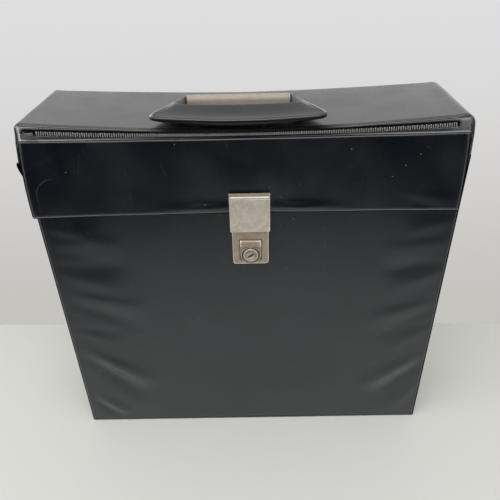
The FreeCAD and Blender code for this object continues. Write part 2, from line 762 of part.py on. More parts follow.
def zip_pull():
    """A tab whose rolled eye turns on the slider's pin."""
    low = f"({SLIDER_Z} - pull_height/2)"
    high = f"({SLIDER_Z} + pull_height/2)"
    eye = rod((SLIDER_X, EYE_Y, low), "z", "pull_height", EYE_RADIUS)
    front = f"({EYE_Y} - {EYE_RADIUS})"
    tab = box((f"({SLIDER_X} - pull_length)", front, low), (SLIDER_X, f"({front} + pull_thick)", high))
    through = "(pull_height + 2*overrun)"
    bore = rod((SLIDER_X, EYE_Y, f"({low} - overrun)"), "z", through, "(ear_radius + ear_gap)")
    hole = rod((f"({SLIDER_X} - pull_length + pull_hole_inset)", f"({front} - overrun)", SLIDER_Z), "y",
               "(pull_thick + 2*overrun)", "pull_hole")
    keep(cut(fuse([eye, tab]), [bore, hole]), "zip_pull")


# The handle

def handle_bracket():
    """A nickel strap rolled over the axle, with a flange down each side."""
    left = f"({HANDLE_X} - bracket_length/2)"
    right = f"({HANDLE_X} + bracket_length/2)"
    inner = "(axle_radius + axle_gap)"
    flange_top = f"({BRACKET_SEAT} + bracket_thick)"
    roll = rod((left, "0", AXLE_Z), "x", "bracket_length", AXLE_OUTER)
    legs = box((left, f"-{AXLE_OUTER}", BRACKET_SEAT), (right, AXLE_OUTER, AXLE_Z))
    flanges = box((left, "(0 - flange_reach)", BRACKET_SEAT), (right, "flange_reach", flange_top))
    start = f"({left} - overrun)"
    room = rod((start, "0", AXLE_Z), "x", "(bracket_length + 2*overrun)", inner)
    open_below = f"({BRACKET_SEAT} - overrun)"
    below = box((start, f"-{inner}", open_below), (f"({right} + overrun)", inner, AXLE_Z))
    keep(cut(fuse([roll, legs, flanges]), [room, below] + HANDLE_HOLES), "handle_bracket")


def handle_backplate():
    left = f"({HANDLE_X} - bracket_length/2)"
    right = f"({HANDLE_X} + bracket_length/2)"
    plate = box((left, "(0 - flange_reach)", HANDLE_PLATE), (right, "flange_reach", LID_BASE))
    keep(cut(plate, HANDLE_HOLES), "handle_backplate")


def handle_axle():
    start = f"({HANDLE_X} - hub_half_width)"
    keep(rod((start, "0", AXLE_Z), "x", "2*hub_half_width", "axle_radius"), "handle_axle")


def handle_grip():
    """Folded forward and flat: two arms from the axle to a wide grip whose top slopes to its edge."""
    grip = new_body("handle_grip")
    grip.Placement = FreeCAD.Placement()
    bind(grip, "Placement.Base.x", HANDLE_X)
    bind(grip, "Placement.Base.z", AXLE_Z)

    def plan(level, inset, step, front):
        """The outline at a level, with its tips drawn in and back, and its front edge drawn back."""
        tip = f"(tip_half_width - {inset})"
        back = f"({step} - tip_reach)"
        hubs = [("hub_half_width", "hub_radius"), ("(0 - hub_half_width)", "hub_radius")]
        corners = [(tip, back)] + hubs + [(f"(0 - {tip})", back)]
        return bowed_outline(grip, "XY_Plane", level, corners, ("0", f"({front} - grip_reach)"))

    grow(grip, "Pad", plan("(0 - grip_drop)", "0", "0", "0"), "edge_height")
    slope = grip.newObject("PartDesign::AdditiveLoft", "slope")
    slope.Profile = plan("(edge_height - grip_drop)", "0", "0", "0")
    slope.Sections = [plan("grip_rise", "top_tip_inset", "top_tip_step", "top_front_inset")]
    slope.Ruled = True
    doc.recompute()

    behind = "(hub_radius + overrun)"
    shoulder = ("shoulder_half_width", "(0 - shoulder_reach)")
    inner_corner = ("inner_half_width", "(0 - inner_corner_reach)")
    right = [inner_corner, shoulder, ("arm_inner", "(0 - hub_radius)"), ("arm_inner", behind)]
    left = [(f"(0 - {across})", along) for across, along in reversed(right)]
    under = "(0 - grip_drop - overrun)"
    opening = bowed_outline(grip, "XY_Plane", under, right + left, ("0", "(0 - inner_reach)"))
    grow(grip, "Pocket", opening, "(grip_drop + grip_rise + 2*overrun)", flipped=True)
    bore = circle(grip, "YZ_Plane", "(0 - hub_half_width - overrun)", ("0", "0"), "axle_radius")
    grow(grip, "Pocket", bore, "2*(hub_half_width + overrun)", flipped=True)


# The hasp

HASP_LEFT = f"({LATCH_X} - hasp_width/2)"
HASP_RIGHT = f"({LATCH_X} + hasp_width/2)"
ROLL_LEFT = f"({HASP_LEFT} + ear_thick + pin_gap)"
ROLL_RIGHT = f"({HASP_RIGHT} - ear_thick - pin_gap)"
LEAF_TOP = "(pin_height - roll_radius - roll_gap)"


def hasp_leaf():
    """A plate on the flap, with an ear at each end that holds the pin."""
    plate = box((HASP_LEFT, LEAF_FRONT, "leaf_bottom"), (HASP_RIGHT, FLAP_FRONT, LEAF_TOP))
    pieces = [plate]
    for start in (HASP_LEFT, f"({HASP_RIGHT} - ear_thick)"):
        pieces.append(rod((start, PIN_Y, "pin_height"), "x", "ear_thick", "roll_radius"))
        foot = f"({LEAF_TOP} - roll_radius)"
        pieces.append(box((start, PIN_Y, foot), (f"({start} + ear_thick)", FLAP_FRONT, "pin_height")))
    across = "(hasp_width + 2*overrun)"
    through = "(leaf_thick + 2*overrun)"
    before = f"({LEAF_FRONT} - overrun)"
    bore = rod((f"({HASP_LEFT} - overrun)", PIN_Y, "pin_height"), "x", across, "pin_radius")
    holes = [rod((x, before, "leaf_rivet_height"), "y", through, "rivet_radius") for x in LEAF_SPOTS]
    keep(cut(fuse(pieces), [bore] + holes), "hasp_leaf")


def hasp_pin():
    keep(rod((HASP_LEFT, PIN_Y, "pin_height"), "x", "hasp_width", "pin_radius"), "hasp_pin")


def hasp_plate():
    """A flat plate with bevelled edges, rolled round the pin at its top."""
    plate = new_body("hasp_plate")
    shoulder = LEAF_TOP
    corners = [(HASP_LEFT, "hasp_bottom"), (HASP_RIGHT, "hasp_bottom"), (HASP_RIGHT, shoulder),
               (ROLL_RIGHT, shoulder), (ROLL_RIGHT, "pin_height"), (ROLL_LEFT, "pin_height"),
               (ROLL_LEFT, shoulder), (HASP_LEFT, shoulder)]
    grow(plate, "Pad", outline(plate, "XZ_Plane", f"(0 - {HASP_BACK})", corners), "hasp_thick")
    dress(plate, "Fillet", "hasp_corner",
          lambda edge: runs_along(edge, "y") and level_with(edge, "z", "hasp_bottom"))
    dress(plate, "Chamfer", "hasp_bevel",
          lambda edge: level_with(edge, "y", HASP_FRONT) and lies_below(edge, "z", shoulder))
    across = f"({ROLL_RIGHT} - {ROLL_LEFT})"
    centre = (PIN_Y, "pin_height")
    grow(plate, "Pad", circle(plate, "YZ_Plane", ROLL_LEFT, centre, "roll_radius"), across)
    bore = circle(plate, "YZ_Plane", f"({ROLL_LEFT} - overrun)", centre, "(pin_radius + pin_gap)")
    grow(plate, "Pocket", bore, f"({across} + 2*overrun)", flipped=True)


def hasp_striker():
    """A stud on the back of the hasp, with a head that the fork of the lock holds."""
    neck = f"({HEAD_FRONT} - ({HASP_BACK}))"
    steps = [(neck, "neck_radius"), ("head_thick", "head_radius")]
    stud = turned(steps, (LATCH_X, HASP_BACK, "striker_height"), "y")
    keep(stud, "hasp_striker")


# The lock

TRAY_HALF = "(tray_width/2)"
TRAY_DEPTH = f"({FRONT} - ({TRAY_FRONT}))"
STEM_BOTTOM = "(cylinder_height - stem_height/2)"
STEM_TOP = "(cylinder_height + stem_height/2)"
FORK_TOP = "(striker_height - head_radius - fork_gap)"


def upright(left, right, bottom, top):
    """The corners of an upright rectangle about the latch's middle."""
    low = f"({LATCH_X} - {left})"
    high = f"({LATCH_X} + {right})"
    return [(low, bottom), (high, bottom), (high, top), (low, top)]


def lock_case():
    """A shallow pressed tray, open behind, with a notch in its top for the striker."""
    tray = new_body("lock_case")
    behind = f"(0 - {FRONT})"
    through = f"({TRAY_DEPTH} + overrun)"
    rim = outline(tray, "XZ_Plane", behind, upright(TRAY_HALF, TRAY_HALF, "tray_bottom", "tray_top"))
    grow(tray, "Pad", rim, TRAY_DEPTH)
    dress(tray, "Fillet", "tray_corner",
          lambda edge: runs_along(edge, "y") and level_with(edge, "z", "tray_bottom"))
    dress(tray, "Chamfer", "tray_bevel", lambda edge: level_with(edge, "y", TRAY_FRONT))
    inner = f"({TRAY_HALF} - tray_wall)"
    room = upright(inner, inner, "(tray_bottom + tray_wall)", "(tray_top - tray_wall)")
    deep = f"({TRAY_DEPTH} - tray_wall)"
    grow(tray, "Pocket", outline(tray, "XZ_Plane", behind, room), deep, flipped=True)
    notch_half = "(head_radius + notch_gap)"
    notch = upright(notch_half, notch_half, f"(striker_height - {notch_half})", "(tray_top + overrun)")
    grow(tray, "Pocket", outline(tray, "XZ_Plane", behind, notch), through, flipped=True)
    slot_half = "(stem_width/2 + slide_gap)"
    slot_top = f"({STEM_TOP} + slide_travel + slide_gap)"
    slot = upright(slot_half, slot_half, f"({STEM_BOTTOM} - slide_gap)", slot_top)
    grow(tray, "Pocket", outline(tray, "XZ_Plane", behind, slot), through, flipped=True)


def lock_plates():
    inner = f"({TRAY_HALF} - tray_wall)"
    base = box((f"({LATCH_X} - {inner})", BASE_FRONT, "(tray_bottom + tray_wall)"),
               (f"({LATCH_X} + {inner})", FRONT, "(tray_top - tray_wall)"))
    keep(cut(base, LOCK_HOLES), "lock_base_plate")
    inside = box((f"({LATCH_X} - {TRAY_HALF})", LOCK_PLATE_FRONT, "tray_bottom"),
                 (f"({LATCH_X} + {TRAY_HALF})", LOCK_PLATE_BACK, "tray_top"))
    keep(cut(inside, LOCK_HOLES), "lock_backplate")


def latch_button():
    """A flat button with a raised thumb lip, and a stem through the tray to the fork bolt."""
    button = new_body("latch_button")
    half = "(button_width/2)"
    face = upright(half, half, "button_bottom", "button_top")
    grow(button, "Pad", outline(button, "XZ_Plane", f"(0 - {BUTTON_BACK})", face), "button_thick")
    dress(button, "Fillet", "button_corner", lambda edge: runs_along(edge, "y"))
    lip = upright(half, half, "(button_top - lip_height)", "button_top")
    grow(button, "Pad", outline(button, "XZ_Plane", f"(0 - {BUTTON_FRONT})", lip), "lip_thick")
    dress(button, "Chamfer", "lip_bevel",
          lambda edge: level_with(edge, "y", f"({BUTTON_FRONT} - lip_thick)"))
    stem_half = "(stem_width/2)"
    stem = upright(stem_half, stem_half, STEM_BOTTOM, STEM_TOP)
    stem_length = f"({BOLT_FRONT} - ({BUTTON_BACK}))"
    grow(button, "Pad", outline(button, "XZ_Plane", f"(0 - {BOLT_FRONT})", stem), stem_length)
    centre = (LATCH_X, "cylinder_height")
    bore = circle(button, "XZ_Plane", f"(0 - {BUTTON_BACK})", centre, "(plug_radius + plug_gap)")
    grow(button, "Pocket", bore, "(button_thick + overrun)", flipped=True)


def fork_bolt():
    """Slides up with the button, so that its two prongs stand each side of the striker's neck."""
    bolt = new_body("fork_bolt")
    left = f"({LATCH_X} - bolt_width/2)"
    right = f"({LATCH_X} + bolt_width/2)"
    slot_left = f"({LATCH_X} - (neck_radius + fork_gap))"
    slot_right = f"({LATCH_X} + (neck_radius + fork_gap))"
    root = f"({FORK_TOP} - fork_depth)"
    corners = [(left, STEM_BOTTOM), (right, STEM_BOTTOM), (right, FORK_TOP), (slot_right, FORK_TOP),
               (slot_right, root), (slot_left, root), (slot_left, FORK_TOP), (left, FORK_TOP)]
    grow(bolt, "Pad", outline(bolt, "XZ_Plane", f"(0 - {BOLT_BACK})", corners), "bolt_thick")


def lock_cylinder():
    """The stepped collar round the key plug."""
    steps = [("ring_rise", "ring_radius"), ("cylinder_rise", "cylinder_radius")]
    collar = turned(steps, (LATCH_X, CYLINDER_FRONT, "cylinder_height"), "y")
    bore = rod((LATCH_X, f"({CYLINDER_FRONT} - overrun)", "cylinder_height"), "y",
               "(ring_rise + cylinder_rise + 2*overrun)", "(plug_radius + plug_gap)")
    keep(cut(collar, [bore]), "lock_cylinder")


def key_plug():
    """A round plug with a straight key slot, turned a little from level."""
    plug = new_body("key_plug")
    length = f"({BUTTON_BACK} - slide_gap - ({CYLINDER_FRONT}) + plug_rise)"
    turn = FreeCAD.Rotation(FreeCAD.Vector(0, -1, 0), number("key_slot_angle"))
    plug.Placement = FreeCAD.Placement(FreeCAD.Vector(), turn)
    bind(plug, "Placement.Rotation.Angle", "key_slot_angle")
    for axis, place in zip("xyz", (LATCH_X, f"({CYLINDER_FRONT} - plug_rise)", "cylinder_height")):
        bind(plug, f"Placement.Base.{axis}", place)
    grow(plug, "Pad", circle(plug, "XZ_Plane", "0", ("0", "0"), "plug_radius"), length, flipped=True)
    half = "key_slot_length/2"
    thin = "key_slot_width/2"
    low = f"(0 - {thin})"
    left = f"(0 - {half})"
    slot = [(left, low), (half, low), (half, thin), (left, thin)]
    grow(plug, "Pocket", outline(plug, "XZ_Plane", "0", slot), "key_slot_depth")


MAKERS = (
    covers, boards, body_lining, hinge_strips, lid_top, lid_back, lid_band, zip_parts, lid_sides, lid_floor,
    lid_lining, flap, zip_slider, zip_pull, handle_bracket, handle_backplate, handle_rivets, handle_axle,
    handle_grip, hasp_leaf, hasp_rivets, hasp_pin, hasp_plate, hasp_striker, lock_case, lock_plates,
    lock_rivets, latch_button, fork_bolt, lock_cylinder, key_plug,
)
for make in MAKERS:
    make()
doc.recompute()

for item in doc.Objects:
    if "Invalid" in item.State or "Error" in item.State:
        raise RuntimeError(f"{item.Label} failed: {item.State}")
for piece in PARTS:
    if piece.Shape.isNull() or not piece.Shape.isValid():
        raise RuntimeError(f"{piece.Label} has no valid shape")

os.makedirs("parts", exist_ok=True)
for piece in PARTS:
    piece.Shape.exportStep(os.path.join("parts", piece.Label + ".step"))
print(len(PARTS), "pieces")
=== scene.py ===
import bmesh
import bpy
import json
import math
from mathutils import Matrix, Vector

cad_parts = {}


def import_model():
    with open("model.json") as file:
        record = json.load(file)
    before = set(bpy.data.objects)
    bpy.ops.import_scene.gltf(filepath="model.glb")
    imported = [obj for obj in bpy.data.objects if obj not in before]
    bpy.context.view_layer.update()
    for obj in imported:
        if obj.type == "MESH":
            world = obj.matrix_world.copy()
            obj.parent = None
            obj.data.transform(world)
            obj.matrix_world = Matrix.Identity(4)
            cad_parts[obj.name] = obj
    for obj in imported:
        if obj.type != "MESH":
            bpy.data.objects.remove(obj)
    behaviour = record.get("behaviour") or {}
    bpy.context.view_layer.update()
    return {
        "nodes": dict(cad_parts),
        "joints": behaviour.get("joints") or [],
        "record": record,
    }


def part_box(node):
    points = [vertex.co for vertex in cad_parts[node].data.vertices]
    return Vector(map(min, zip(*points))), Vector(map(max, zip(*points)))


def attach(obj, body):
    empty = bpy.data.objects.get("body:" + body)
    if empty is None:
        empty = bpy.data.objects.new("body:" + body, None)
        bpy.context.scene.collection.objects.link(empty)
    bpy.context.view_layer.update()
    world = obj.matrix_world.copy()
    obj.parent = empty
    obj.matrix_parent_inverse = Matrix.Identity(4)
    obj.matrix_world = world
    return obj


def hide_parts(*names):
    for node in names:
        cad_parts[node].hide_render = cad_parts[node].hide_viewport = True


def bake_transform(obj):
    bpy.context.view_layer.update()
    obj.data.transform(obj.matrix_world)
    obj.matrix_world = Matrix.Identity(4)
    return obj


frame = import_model()
SCENE = bpy.context.scene
NODES = frame["nodes"]
MM = 0.001


# Places read from the frame

def low(node):
    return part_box(node)[0]


def high(node):
    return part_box(node)[1]


def joint_place(name):
    return Vector(next(joint["pos_m"] for joint in frame["joints"] if joint["name"] == name))


HALF = high("front_cover").x
FRONT = low("front_cover").y
BACK = high("back_cover").y
RIM = high("front_cover").z
COVER = high("bottom_cover").z - low("bottom_cover").z
WALL = high("front_cover").y - FRONT
SIDE = high("right_cover").x
HINGE = joint_place("lid_hinge")
LID_BASE = low("lid_front_band").z
TOP_FRONT = low("lid_top_cover").y
TOP_BACK = high("lid_top_cover").y
FLAP_FRONT = low("flap_cover").y
FLAP_DEPTH = high("flap_cover").y - FLAP_FRONT
FLAP_BOTTOM = low("flap_cover").z
LATCH_X = (low("hasp_plate").x + high("hasp_plate").x) / 2


# Meshes

def add_piece(name, points, faces, sharp_angle=40):
    """A smooth-shaded mesh with its faces turned outwards."""
    data = bpy.data.meshes.new(name)
    data.from_pydata(points, [], faces)
    shell = bmesh.new()
    shell.from_mesh(data)
    bmesh.ops.remove_doubles(shell, verts=shell.verts, dist=MM / 1000)
    bmesh.ops.dissolve_degenerate(shell, edges=shell.edges, dist=MM / 1000)
    bmesh.ops.recalc_face_normals(shell, faces=shell.faces)
    shell.to_mesh(data)
    shell.free()
    data.polygons.foreach_set("use_smooth", [True] * len(data.polygons))
    data.set_sharp_from_angle(angle=math.radians(sharp_angle))
    piece = bpy.data.objects.new(name, data)
    SCENE.collection.objects.link(piece)
    return piece


def finish_piece(piece, material, body, slot, *nodes):
    """Gives a piece its material and its body, and hides the nodes that it stands for. The slot is not used.
    """
    piece.data.materials.append(material)
    if nodes:
        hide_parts(*nodes)
    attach(piece, body)


def recolour(piece, material, chosen):
    """Gives another material to the chosen faces."""
    piece.data.materials.append(material)
    for face in piece.data.polygons:
        if chosen(face):
            face.material_index = len(piece.data.materials) - 1


def grid_faces(columns, rows, start=0):
    """The faces of a grid of points that is stored row by row."""
    faces = []
    for row in range(rows - 1):
        for column in range(columns - 1):
            corner = start + row * columns + column
            faces.append((corner, corner + 1, corner + columns + 1, corner + columns))
    return faces


def grid_rim(columns, rows):
    """The points along the rim of such a grid, in order."""
    rim = list(range(columns))
    rim += [row * columns + columns - 1 for row in range(1, rows)]
    rim += [(rows - 1) * columns + column for column in range(columns - 2, -1, -1)]
    return rim + [row * columns for row in range(rows - 2, 0, -1)]


def tube_faces(count, rings, start=0):
    """The faces between rings of points that are stored one after the other, and the two end caps."""
    faces = []
    for corner in range(start, start + count * (rings - 1), count):
        for index in range(count):
            follow = (index + 1) % count
            faces.append((corner + index, corner + follow, corner + count + follow, corner + count + index))
    for corner in (start, start + count * (rings - 1)):
        faces.append(tuple(range(corner, corner + count)))
    return faces


def thicken(piece, thickness):
    """Turns a sheet into a thin closed solid, inwards from the side that shows."""
    skin = piece.modifiers.new("thickness", "SOLIDIFY")
    skin.thickness = thickness
    skin.offset = -1


def smooth_step(value, start, end):
    share = min(max((value - start) / (end - start), 0), 1)
    return share * share * (3 - 2 * share)


def bell(distance, width):
    return math.exp(-(distance / width) ** 2)


def in_mm(*distances):
    """Distances that are given in mm, in metres."""
    return [distance * MM for distance in distances]


# Panels: flat sheets whose corners are rounded and whose edges wrap round to the back

ARC_STEPS = 6
EDGE_STRIP = 1.4 * MM
HEM_STRIP = 0.8 * MM
WELD_STRIP = 1.3 * MM


def stops(reach, step, wrap, near_edge):
    """Places from the middle of a panel to its edge, then on round the edge, both ways."""
    flat_steps = max(2, math.ceil(reach / step))
    ahead = {reach * index / flat_steps for index in range(flat_steps)}
    ahead |= {reach - inward for inward in near_edge if inward < reach}
    ahead = sorted(ahead) + [reach + extra for extra in wrap]
    return [-place for place in reversed(ahead[1:])] + ahead


def wrapped(across, up, half_width, half_height, corner, edge):
    """Where a place on a flat sheet lands once its edges are wrapped: across, up and how far back."""
    over_x = max(abs(across) - (half_width - corner), 0)
    over_z = max(abs(up) - (half_height - corner), 0)
    ring = max(over_x, over_z)
    flat = corner - edge
    if ring <= flat:
        radial, drop = ring, 0
    else:
        angle = (ring - flat) / edge
        if angle < math.pi / 2:
            radial = flat + edge * math.sin(angle)
            drop = edge * (1 - math.cos(angle))
        else:
            radial = corner
            drop = edge + ring - flat - edge * math.pi / 2
    share = radial / math.hypot(over_x, over_z) if ring > 0 else 1
    x = math.copysign(abs(across) - over_x + over_x * share, across)
    z = math.copysign(abs(up) - over_z + over_z * share, up)
    return x, z, drop


def panel(name, place, half_width, half_height, corner, edge, depth, step, relief, near_edge=()):
    """A closed panel. place takes across, up and outwards to a point, and relief raises the face."""
    flat = corner - edge
    turn = edge * math.pi / 2
    wrap = [0] + ([flat] if flat > 0 else [])
    wrap += [flat + turn * index / ARC_STEPS for index in range(1, ARC_STEPS + 1)]
    if depth > edge:
        wrap.append(flat + turn + depth - edge)
    across = stops(half_width - corner, step, wrap, near_edge)
    up = stops(half_height - corner, step, wrap, near_edge)
    points = []
    for b in up:
        for a in across:
            x, z, drop = wrapped(a, b, half_width, half_height, corner, edge)
            points.append(place(x, z, relief(x, z) * max(0, 1 - drop / edge) - drop))
    faces = grid_faces(len(across), len(up))
    faces.append(tuple(reversed(grid_rim(len(across), len(up)))))
    return add_piece(name, points, faces)


def front_panel(name, middle, half_width, half_height, **shape):
    """An upright panel about its middle, whose face looks to the front. The shape goes on to panel."""
    centre_x, front, centre_z = middle

    def place(across, up, out):
        return Vector((centre_x + across, front - out, centre_z + up))

    return panel(name, place, half_width, half_height, **shape)


def lathe(name, profile, centre, axis, turns=48):
    """A solid of revolution about an axis through a centre: pairs of a radius and a place along it."""
    points = []
    for radius, along in profile:
        for index in range(turns):
            angle = 2 * math.pi * index / turns
            first, second = radius * math.cos(angle), radius * math.sin(angle)
            arm = (along, first, second) if axis == "x" else (first, along, second)
            points.append(Vector(centre) + Vector(arm))
    return add_piece(name, points, tube_faces(turns, len(profile)))


# Materials

class NodeTree:
    """A node tree, with a short way to add a node and to fill its inputs."""

    def __init__(self, tree):
        self.tree = tree

    def fill(self, target, value):
        """Links an output of a node to an input, or sets the input to a constant."""
        if isinstance(value, bpy.types.NodeSocket):
            self.tree.links.new(value, target)
        else:
            target.default_value = value

    def node(self, kind, inputs, **settings):
        made = self.tree.nodes.new(kind)
        for name, value in settings.items():
            setattr(made, name, value)
        for name, value in inputs.items():
            self.fill(made.inputs[name], value)
        return made

    def mixed(self, share, first, second):
        """A colour between two colours, at a share of the way."""
        inputs = {"Factor": share, "A": first, "B": second}
        return self.node("ShaderNodeMix", inputs, data_type="RGBA").outputs["Result"]

    def ramp(self, source, start, end, low_value=0.0, high_value=1.0, kind="SMOOTHSTEP"):
        """Maps a range of a source to other values, held at both ends."""
        inputs = {"Value": source, "From Min": start, "From Max": end}
        inputs |= {"To Min": low_value, "To Max": high_value}
        return self.node("ShaderNodeMapRange", inputs, interpolation_type=kind).outputs["Result"]

    def geometry(self, output):
        return self.node("ShaderNodeNewGeometry", {}).outputs[output]

    def part(self, vector, axis):
        return self.node("ShaderNodeSeparateXYZ", {"Vector": vector}).outputs[axis]


class Recipe(NodeTree):
    """A node material that starts from a Principled shader and the object's own coordinates."""

    def __init__(self, name, colour, roughness, metallic=0.0, specular=0.5):
        self.material = bpy.data.materials.new(name)
        self.material.use_nodes = True
        super().__init__(self.material.node_tree)
        self.shader = self.tree.nodes["Principled BSDF"]
        self.shader.inputs["Metallic"].default_value = metallic
        self.shader.inputs["Specular IOR Level"].default_value = specular
        self.colour = (*colour, 1)
        self.rough = roughness
        self.height = 0.0
        self.place = self.node("ShaderNodeTexCoord", {}).outputs["Object"]

    def stretched(self, stretch):
        """The coordinates, stretched by a number for each axis."""
        return self.node("ShaderNodeMapping", {"Scale": stretch, "Vector": self.place}).outputs["Vector"]

    def noise(self, scale, detail, stretch=(1, 1, 1)):
        inputs = {"Scale": scale, "Detail": detail, "Roughness": 0.5, "Vector": self.stretched(stretch)}
        return self.node("ShaderNodeTexNoise", inputs).outputs["Fac"]

    def clouds(self, scale, detail, start, end, low_value=0.0, high_value=1.0):
        """Noise whose range from start to end is spread over other values."""
        return self.ramp(self.noise(scale, detail), start, end, low_value, high_value)

    def cells(self, scale, stretch=(1, 1, 1), feature="F1"):
        inputs = {"Scale": scale, "Vector": self.stretched(stretch)}
        return self.node("ShaderNodeTexVoronoi", inputs, feature=feature).outputs["Distance"]

    def math(self, operation, first, second=0.0):
        return self.node("ShaderNodeMath", {0: first, 1: second}, operation=operation).outputs["Value"]

    def times(self, first, second):
        return self.math("MULTIPLY", first, second)

    def tint(self, share, colour, amount=1.0):
        """Mixes a colour over what is there, by a share of an amount."""
        self.colour = self.mixed(self.times(share, amount), self.colour, (*colour, 1))

    def shine(self, change):
        """Adds a change to the roughness."""
        self.rough = self.math("ADD", self.rough, change)

    def bump(self, source, depth):
        """Adds a source to the height, in metres."""
        self.height = self.math("ADD", self.height, self.times(source, depth))

    def along(self, axis):
        return self.part(self.place, axis)

    def aside(self):
        """How far a place is from the middle of the object, across, in metres."""
        return self.math("ABSOLUTE", self.along("X"))

    def scuff(self, centre_x, centre_z, radius):
        """A share that is 1 along a patchy arc on a front face, the upper left quarter of a ring."""
        x = self.math("SUBTRACT", self.along("X"), centre_x)
        z = self.math("SUBTRACT", self.along("Z"), centre_z)
        from_centre = self.math("SQRT", self.math("ADD", self.times(x, x), self.times(z, z)))
        off_line = self.math("ABSOLUTE", self.math("SUBTRACT", from_centre, radius))
        line = self.ramp(off_line, 0.0, 0.05 * radius, 1, 0)
        fade_start, fade_end = -0.3 * radius, 0.1 * radius
        quarter = self.times(self.ramp(x, fade_start, fade_end, 1, 0), self.ramp(z, fade_start, fade_end))
        return self.times(self.times(line, quarter), self.clouds(260, 3, 0.3, 0.6, 0.35, 1))

    def finish(self):
        bump = self.node("ShaderNodeBump", {"Distance": 1.0, "Strength": 1.0, "Height": self.height})
        for name, value in (("Base Color", self.colour), ("Roughness", self.rough),
                            ("Normal", bump.outputs["Normal"])):
            self.fill(self.shader.inputs[name], value)
        return self.material


BLACK = (0.0028, 0.0040, 0.0056)


def vinyl(name, colour=BLACK, roughness=0.25, specular=0.75, dust=1.0, lit_ends=None, shaded_middle=None,
          scuffs=()):
    """Satin black sheet: fine grain, soft mottling, specks of dust, hairline scratches and a painted
    highlight on convex edges.

    lit_ends pales it towards both ends as a painted highlight: from and to which distance from the middle,
    and how pale it gets.
    shaded_middle takes the shine from its middle as painted shade: from and to which distance that comes
    back."""
    recipe = Recipe(name, colour, roughness, specular=specular)
    recipe.tint(recipe.clouds(14, 4, 0.45, 0.75), (0.0075, 0.0084, 0.0100), 0.4)
    recipe.shine(recipe.clouds(35, 3, 0.3, 0.7, -0.04, 0.05))
    film = recipe.times(recipe.noise(420, 5), recipe.clouds(18, 3, 0.42, 0.66))
    recipe.tint(film, (0.028, 0.031, 0.036), 0.2 * dust)
    specks = recipe.ramp(recipe.cells(110), 0.035, 0.07, 1, 0)
    recipe.tint(recipe.times(specks, recipe.clouds(27, 2, 0.55, 0.6)), (0.3, 0.3, 0.3), 0.28 * dust)
    hairs = recipe.ramp(recipe.cells(46, (1, 1, 0.35), "DISTANCE_TO_EDGE"), 0.0, 0.012, 1, 0)
    recipe.tint(recipe.times(hairs, recipe.clouds(55, 2, 0.62, 0.68)), (0.06, 0.06, 0.065), 0.22 * dust)
    # painted highlight: paler on convex edges
    recipe.tint(recipe.ramp(recipe.geometry("Pointiness"), 0.53, 0.62), (0.05, 0.05, 0.052), 0.5)
    recipe.bump(recipe.noise(1400, 2), 0.000012)
    recipe.bump(recipe.noise(160, 3), 0.00003)
    for scuff in scuffs:
        recipe.tint(recipe.scuff(*scuff), (0.075, 0.076, 0.08), 0.42)
    # painted highlight: paler towards both ends
    if lit_ends:
        middle, ends, pale = lit_ends
        recipe.tint(recipe.ramp(recipe.aside(), middle, ends), (pale, pale, pale))
    # painted shade: no shine in the middle
    if shaded_middle:
        gleam = recipe.ramp(recipe.aside(), *shaded_middle, 0.02, specular)
        recipe.fill(recipe.shader.inputs["Specular IOR Level"], gleam)
    return recipe.finish()


def nickel(name, colour, roughness, brush, metallic=0.75):
    """Aged satin plate: brush lines, cloudy patches, specks, painted shade in the grooves and painted
    highlights on convex edges.
    """

    def shade(share, warmth=1.0):
        return colour[0] * share * warmth, colour[1] * share, colour[2] * share / warmth

    recipe = Recipe(name, colour, roughness, metallic)
    cloud = recipe.noise(170, 5)
    recipe.tint(recipe.ramp(cloud, 0.4, 0.62), shade(0.78, 1.06), 0.6)
    recipe.tint(recipe.clouds(330, 4, 0.48, 0.7), shade(1.18, 0.97), 0.5)
    specks = recipe.ramp(recipe.cells(520), 0.06, 0.2, 1, 0)
    recipe.tint(recipe.times(specks, recipe.clouds(240, 2, 0.54, 0.62)), shade(0.4, 1.15), 0.6)
    # painted shade: darker in the grooves
    recipe.tint(recipe.ramp(recipe.geometry("Pointiness"), 0.40, 0.485, 1, 0), shade(0.16, 1.15), 0.85)
    # painted highlight: paler on convex edges
    recipe.tint(recipe.ramp(recipe.geometry("Pointiness"), 0.52, 0.6), shade(1.3), 0.5)
    lines = recipe.noise(900, 3, brush)
    recipe.shine(recipe.ramp(lines, 0.3, 0.7, -0.08, 0.1))
    recipe.bump(lines, 0.000006)
    recipe.bump(cloud, 0.00002)
    return recipe.finish()


def steel(name):
    recipe = Recipe(name, (0.4, 0.39, 0.37), 0.36, 0.9)
    recipe.tint(recipe.clouds(220, 4, 0.45, 0.7), (0.22, 0.2, 0.18), 0.5)
    recipe.shine(recipe.clouds(600, 3, 0.3, 0.7, -0.08, 0.12))
    recipe.bump(recipe.noise(500, 3), 0.00001)
    return recipe.finish()


def zip_metal(name):
    recipe = Recipe(name, (0.31, 0.295, 0.275), 0.45, 0.5)
    recipe.tint(recipe.clouds(300, 3, 0.4, 0.7), (0.20, 0.185, 0.165), 0.6)
    recipe.shine(recipe.clouds(700, 2, 0.3, 0.7, -0.06, 0.1))
    recipe.bump(recipe.noise(1500, 2), 0.000008)
    return recipe.finish()


def tape(name):
    """Woven zip tape: crossing ribs with a little fuzz."""
    recipe = Recipe(name, (0.003, 0.003, 0.0035), 0.9, specular=0.08)
    inputs = {"Scale": 330, "Vector": recipe.place}
    weft, warp = (recipe.node("ShaderNodeTexWave", inputs, bands_direction=way) for way in "XZ")
    weave = recipe.times(weft.outputs["Fac"], warp.outputs["Fac"])
    recipe.tint(weave, (0.010, 0.010, 0.011), 0.6)
    recipe.bump(weave, 0.00006)
    recipe.bump(recipe.noise(900, 3), 0.00004)
    return recipe.finish()


